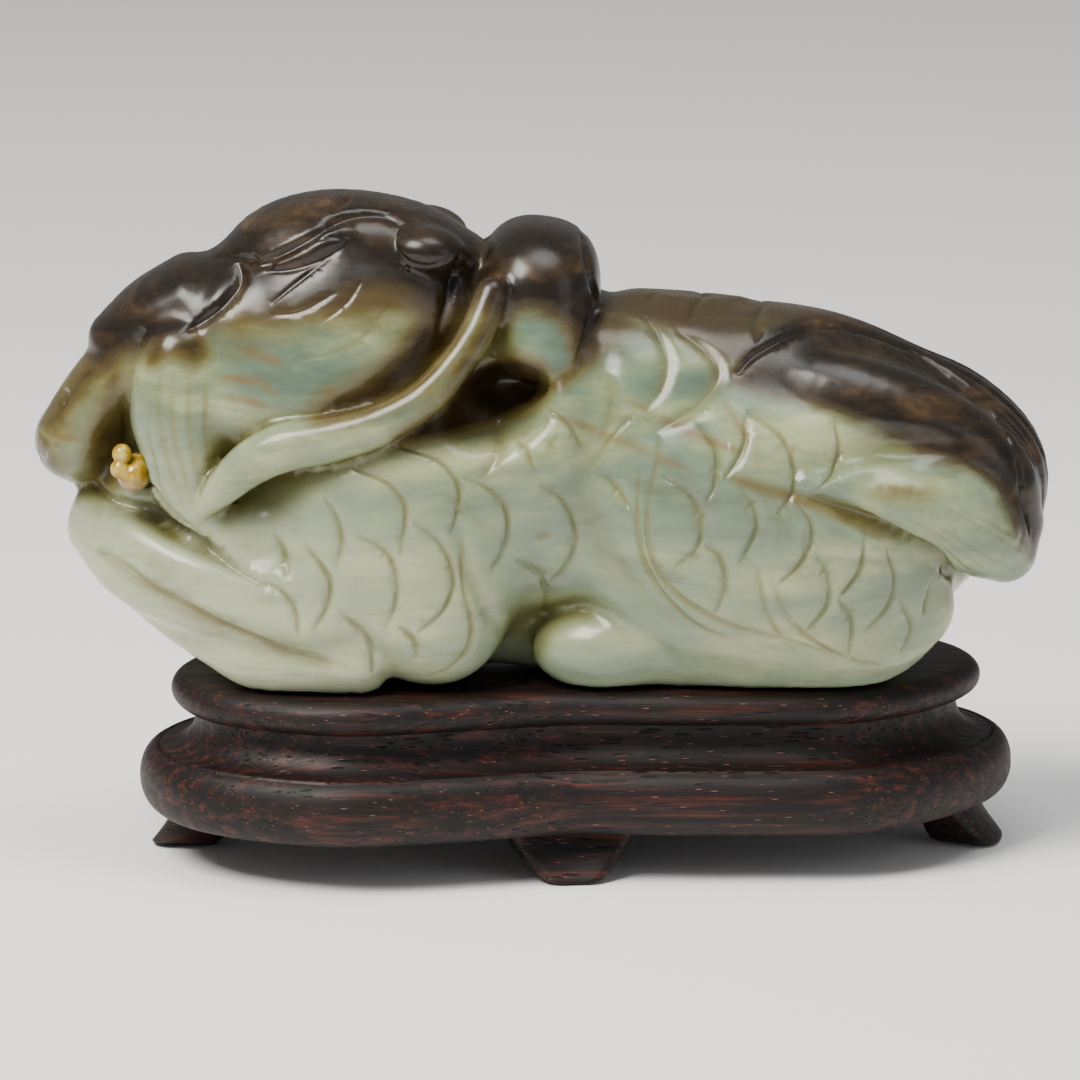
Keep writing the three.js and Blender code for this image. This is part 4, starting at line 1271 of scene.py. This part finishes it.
def rosewoodMaterial():
    # zitan rosewood, waxed: near black with reddish growth streaks and short open pores along its length
    m = newMaterial("waxedRosewood")
    place = addNode(m, "ShaderNodeTexCoord")
    fibre = addNode(m, "ShaderNodeMapping", {"vector_type": "POINT"}, {
        "Vector": (place, "Object"), "Rotation": (0, math.radians(1.5), math.radians(1)), "Scale": (1,
        24, 24),
    })
    growth = addNode(m, "ShaderNodeTexNoise", inputs={
        "Vector": (fibre, "Vector"), "Scale": 46, "Detail": 9, "Roughness": 0.72, "Distortion": 0.2,
    })
    wood = ramp(m, (growth, "Fac"), [
        (0.36, "#050202"), (0.46, "#0d0505"), (0.52, "#1a0a08"), (0.58, "#2f130e"), (0.68, "#4f2219"),
    ])
    # pores about 0.15 mm wide and 1 to 3 mm long
    poreFibre = addNode(m, "ShaderNodeMapping", {"vector_type": "POINT"}, {
        "Vector": (place, "Object"), "Rotation": (0, math.radians(1.5), math.radians(1)), "Scale": (1, 9, 9),
    })
    pores = addNode(m, "ShaderNodeTexVoronoi", inputs={
        "Vector": (poreFibre, "Vector"), "Scale": 260, "Randomness": 1,
    })
    poreDark = ramp(m, (pores, "Distance"), [(0.0, 1.0), (0.2, 0.9), (0.3, 0.0)])
    poreRoom = addNode(m, "ShaderNodeTexNoise", inputs={
        "Vector": (fibre, "Vector"), "Scale": 60, "Detail": 2,
    })
    poreShown = ramp(m, (poreRoom, "Fac"), [(0.42, 0.15), (0.58, 1.0)])
    poreAmount = addNode(m, "ShaderNodeMath", {"operation": "MULTIPLY"}, {
        0: (poreDark, "Color"), 1: (poreShown, "Color"),
    })
    pored = addNode(m, "ShaderNodeMix", {"data_type": "RGBA"}, {
        "Factor": (poreAmount, "Value"), "A": (wood, "Color"), "B": linear("#0d0808"),
    })
    # a few pores hold pale wax
    waxFibre = addNode(m, "ShaderNodeMapping", {"vector_type": "POINT"}, {
        "Vector": (place, "Object"), "Location": (0.031, 0.017, 0.005), "Scale": (1, 8, 8),
    })
    waxPores = addNode(m, "ShaderNodeTexVoronoi", inputs={
        "Vector": (waxFibre, "Vector"), "Scale": 300, "Randomness": 1,
    })
    waxAmount = ramp(m, (waxPores, "Distance"), [(0.0, 0.8), (0.08, 0.65), (0.14, 0.0)])
    waxed = addNode(m, "ShaderNodeMix", {"data_type": "RGBA"}, {
        "Factor": (waxAmount, "Color"), "A": (pored, "Result"), "B": linear("#845546"),
    })
    rough = addNode(m, "ShaderNodeMapRange", inputs={
        "Value": (growth, "Fac"), "From Min": 0.3, "From Max": 0.7, "To Min": 0.62, "To Max": 0.46,
    })
    relief = addNode(m, "ShaderNodeBump", {"invert": True}, {
        "Height": (poreAmount, "Value"), "Strength": 0.9, "Distance": 0.0002,
    })
    shader = addNode(m, "ShaderNodeBsdfPrincipled", inputs={
        "Base Color": (waxed, "Result"), "Roughness": (rough, "Result"), "Normal": (relief, "Normal"),
        "Specular IOR Level": 0.3, "Coat Weight": 0.03, "Coat Roughness": 0.4,
    })
    addNode(m, "ShaderNodeOutputMaterial", inputs={"Surface": (shader, "BSDF")})
    return m


def resinMaterial():
    # old golden resin, cloudy amber that gleams on the beads and is dull and pinkish at its broken foot
    m = newMaterial("goldenResin")
    place = addNode(m, "ShaderNodeTexCoord")
    cloud = addNode(m, "ShaderNodeTexNoise", inputs={"Vector": (place, "Object"), "Scale": 900, "Detail": 3})
    gold = ramp(m, (cloud, "Fac"), [(0.35, "#86660f"), (0.5, "#a98a24"), (0.68, "#cbb255")])
    height = addNode(m, "ShaderNodeSeparateXYZ", inputs={"Vector": (place, "Object")})
    foot = addNode(m, "ShaderNodeMapRange", inputs={
        "Value": (height, "Z"), "From Min": 0.0392, "From Max": 0.0384, "To Min": 0.0, "To Max": 0.8,
    })
    tone = addNode(m, "ShaderNodeMix", {"data_type": "RGBA"}, {
        "Factor": (foot, "Result"), "A": (gold, "Color"), "B": linear("#9a7a68"),
    })
    shader = addNode(m, "ShaderNodeBsdfPrincipled", inputs={
        "Base Color": (tone, "Result"), "Roughness": 0.16, "IOR": 1.54, "Subsurface Weight": 0.12,
        "Subsurface Radius": (1, 0.7, 0.3), "Subsurface Scale": 0.0008, "Coat Weight": 0.3,
        "Coat Roughness": 0.08,
    })
    addNode(m, "ShaderNodeOutputMaterial", inputs={"Surface": (shader, "BSDF")})
    return m


def plainMaterial(name, colour, roughness):
    m = newMaterial(name)
    shader = addNode(m, "ShaderNodeBsdfPrincipled", inputs={
        "Base Color": linear(colour), "Roughness": roughness,
    })
    addNode(m, "ShaderNodeOutputMaterial", inputs={"Surface": (shader, "BSDF")})
    return m


# Put together

jadeQilin = makeFigure()
jadeQilin.data.materials.append(jadeMaterial())
rosewoodStand = makeStand()
rosewoodStand.data.materials.append(rosewoodMaterial())
mouthResin = makeResin()
mouthResin.data.materials.append(resinMaterial())

for piece, node, slotName in (
    (jadeQilin, "qilin_figure", "jade"),
    (rosewoodStand, "wood_stand", "rosewood"),
    (mouthResin, "mouth_beads", "resin"),
):
    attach(piece, "root")
    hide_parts(node)
print("pieces ride on their body")

# Camera, floor and lights

scene = bpy.context.scene
cameraData = bpy.data.cameras.new("photoCamera")
cameraData.sensor_width = 36
cameraData.lens = cameraData.sensor_width * focalPixels / photoView["frame"]
cameraData.clip_start, cameraData.clip_end = 0.01, 10
camera = bpy.data.objects.new("photoCamera", cameraData)
camera.location = Vector(eye * share + carvingOrigin)
camera.rotation_euler = (math.pi / 2 - photoView["elevation"], 0, 0)
scene.collection.objects.link(camera)
scene.camera = camera

bpy.ops.mesh.primitive_plane_add(size=6, location=(0, 0, -0.0002))
floor = bpy.context.object
floor.name = "floor"
floor.data.materials.append(plainMaterial("paleFloor", "#ffffff", 0.9))

lights = {
    "keySoftbox": {"place": (-0.32, -0.32, 0.62), "size": 0.34, "power": 9, "colour": "#fffaf2"},
    "fillSoftbox": {"place": (0.7, -0.5, 0.35), "size": 0.5, "power": 0.8, "colour": "#f4f8ff"},
    "topSoftbox": {"place": (0.1, -0.1, 0.65), "size": 0.3, "power": 1.8, "colour": "#ffffff"},
}
for name, light in lights.items():
    data = bpy.data.lights.new(name, "AREA")
    data.size, data.energy, data.color = light["size"], light["power"], linear(light["colour"])[:3]
    lamp = bpy.data.objects.new(name, data)
    lamp.location = light["place"]
    lamp.rotation_euler = (Vector((0, 0, 0.035)) - Vector(light["place"])).to_track_quat("-Z", "Y").to_euler()
    scene.collection.objects.link(lamp)

world = bpy.data.worlds.new("paleStudio")
world.use_nodes = True
world.node_tree.nodes["Background"].inputs["Color"].default_value = linear("#ffffff")
world.node_tree.nodes["Background"].inputs["Strength"].default_value = 0.3
scene.world = world
print("camera, floor and lights are set")
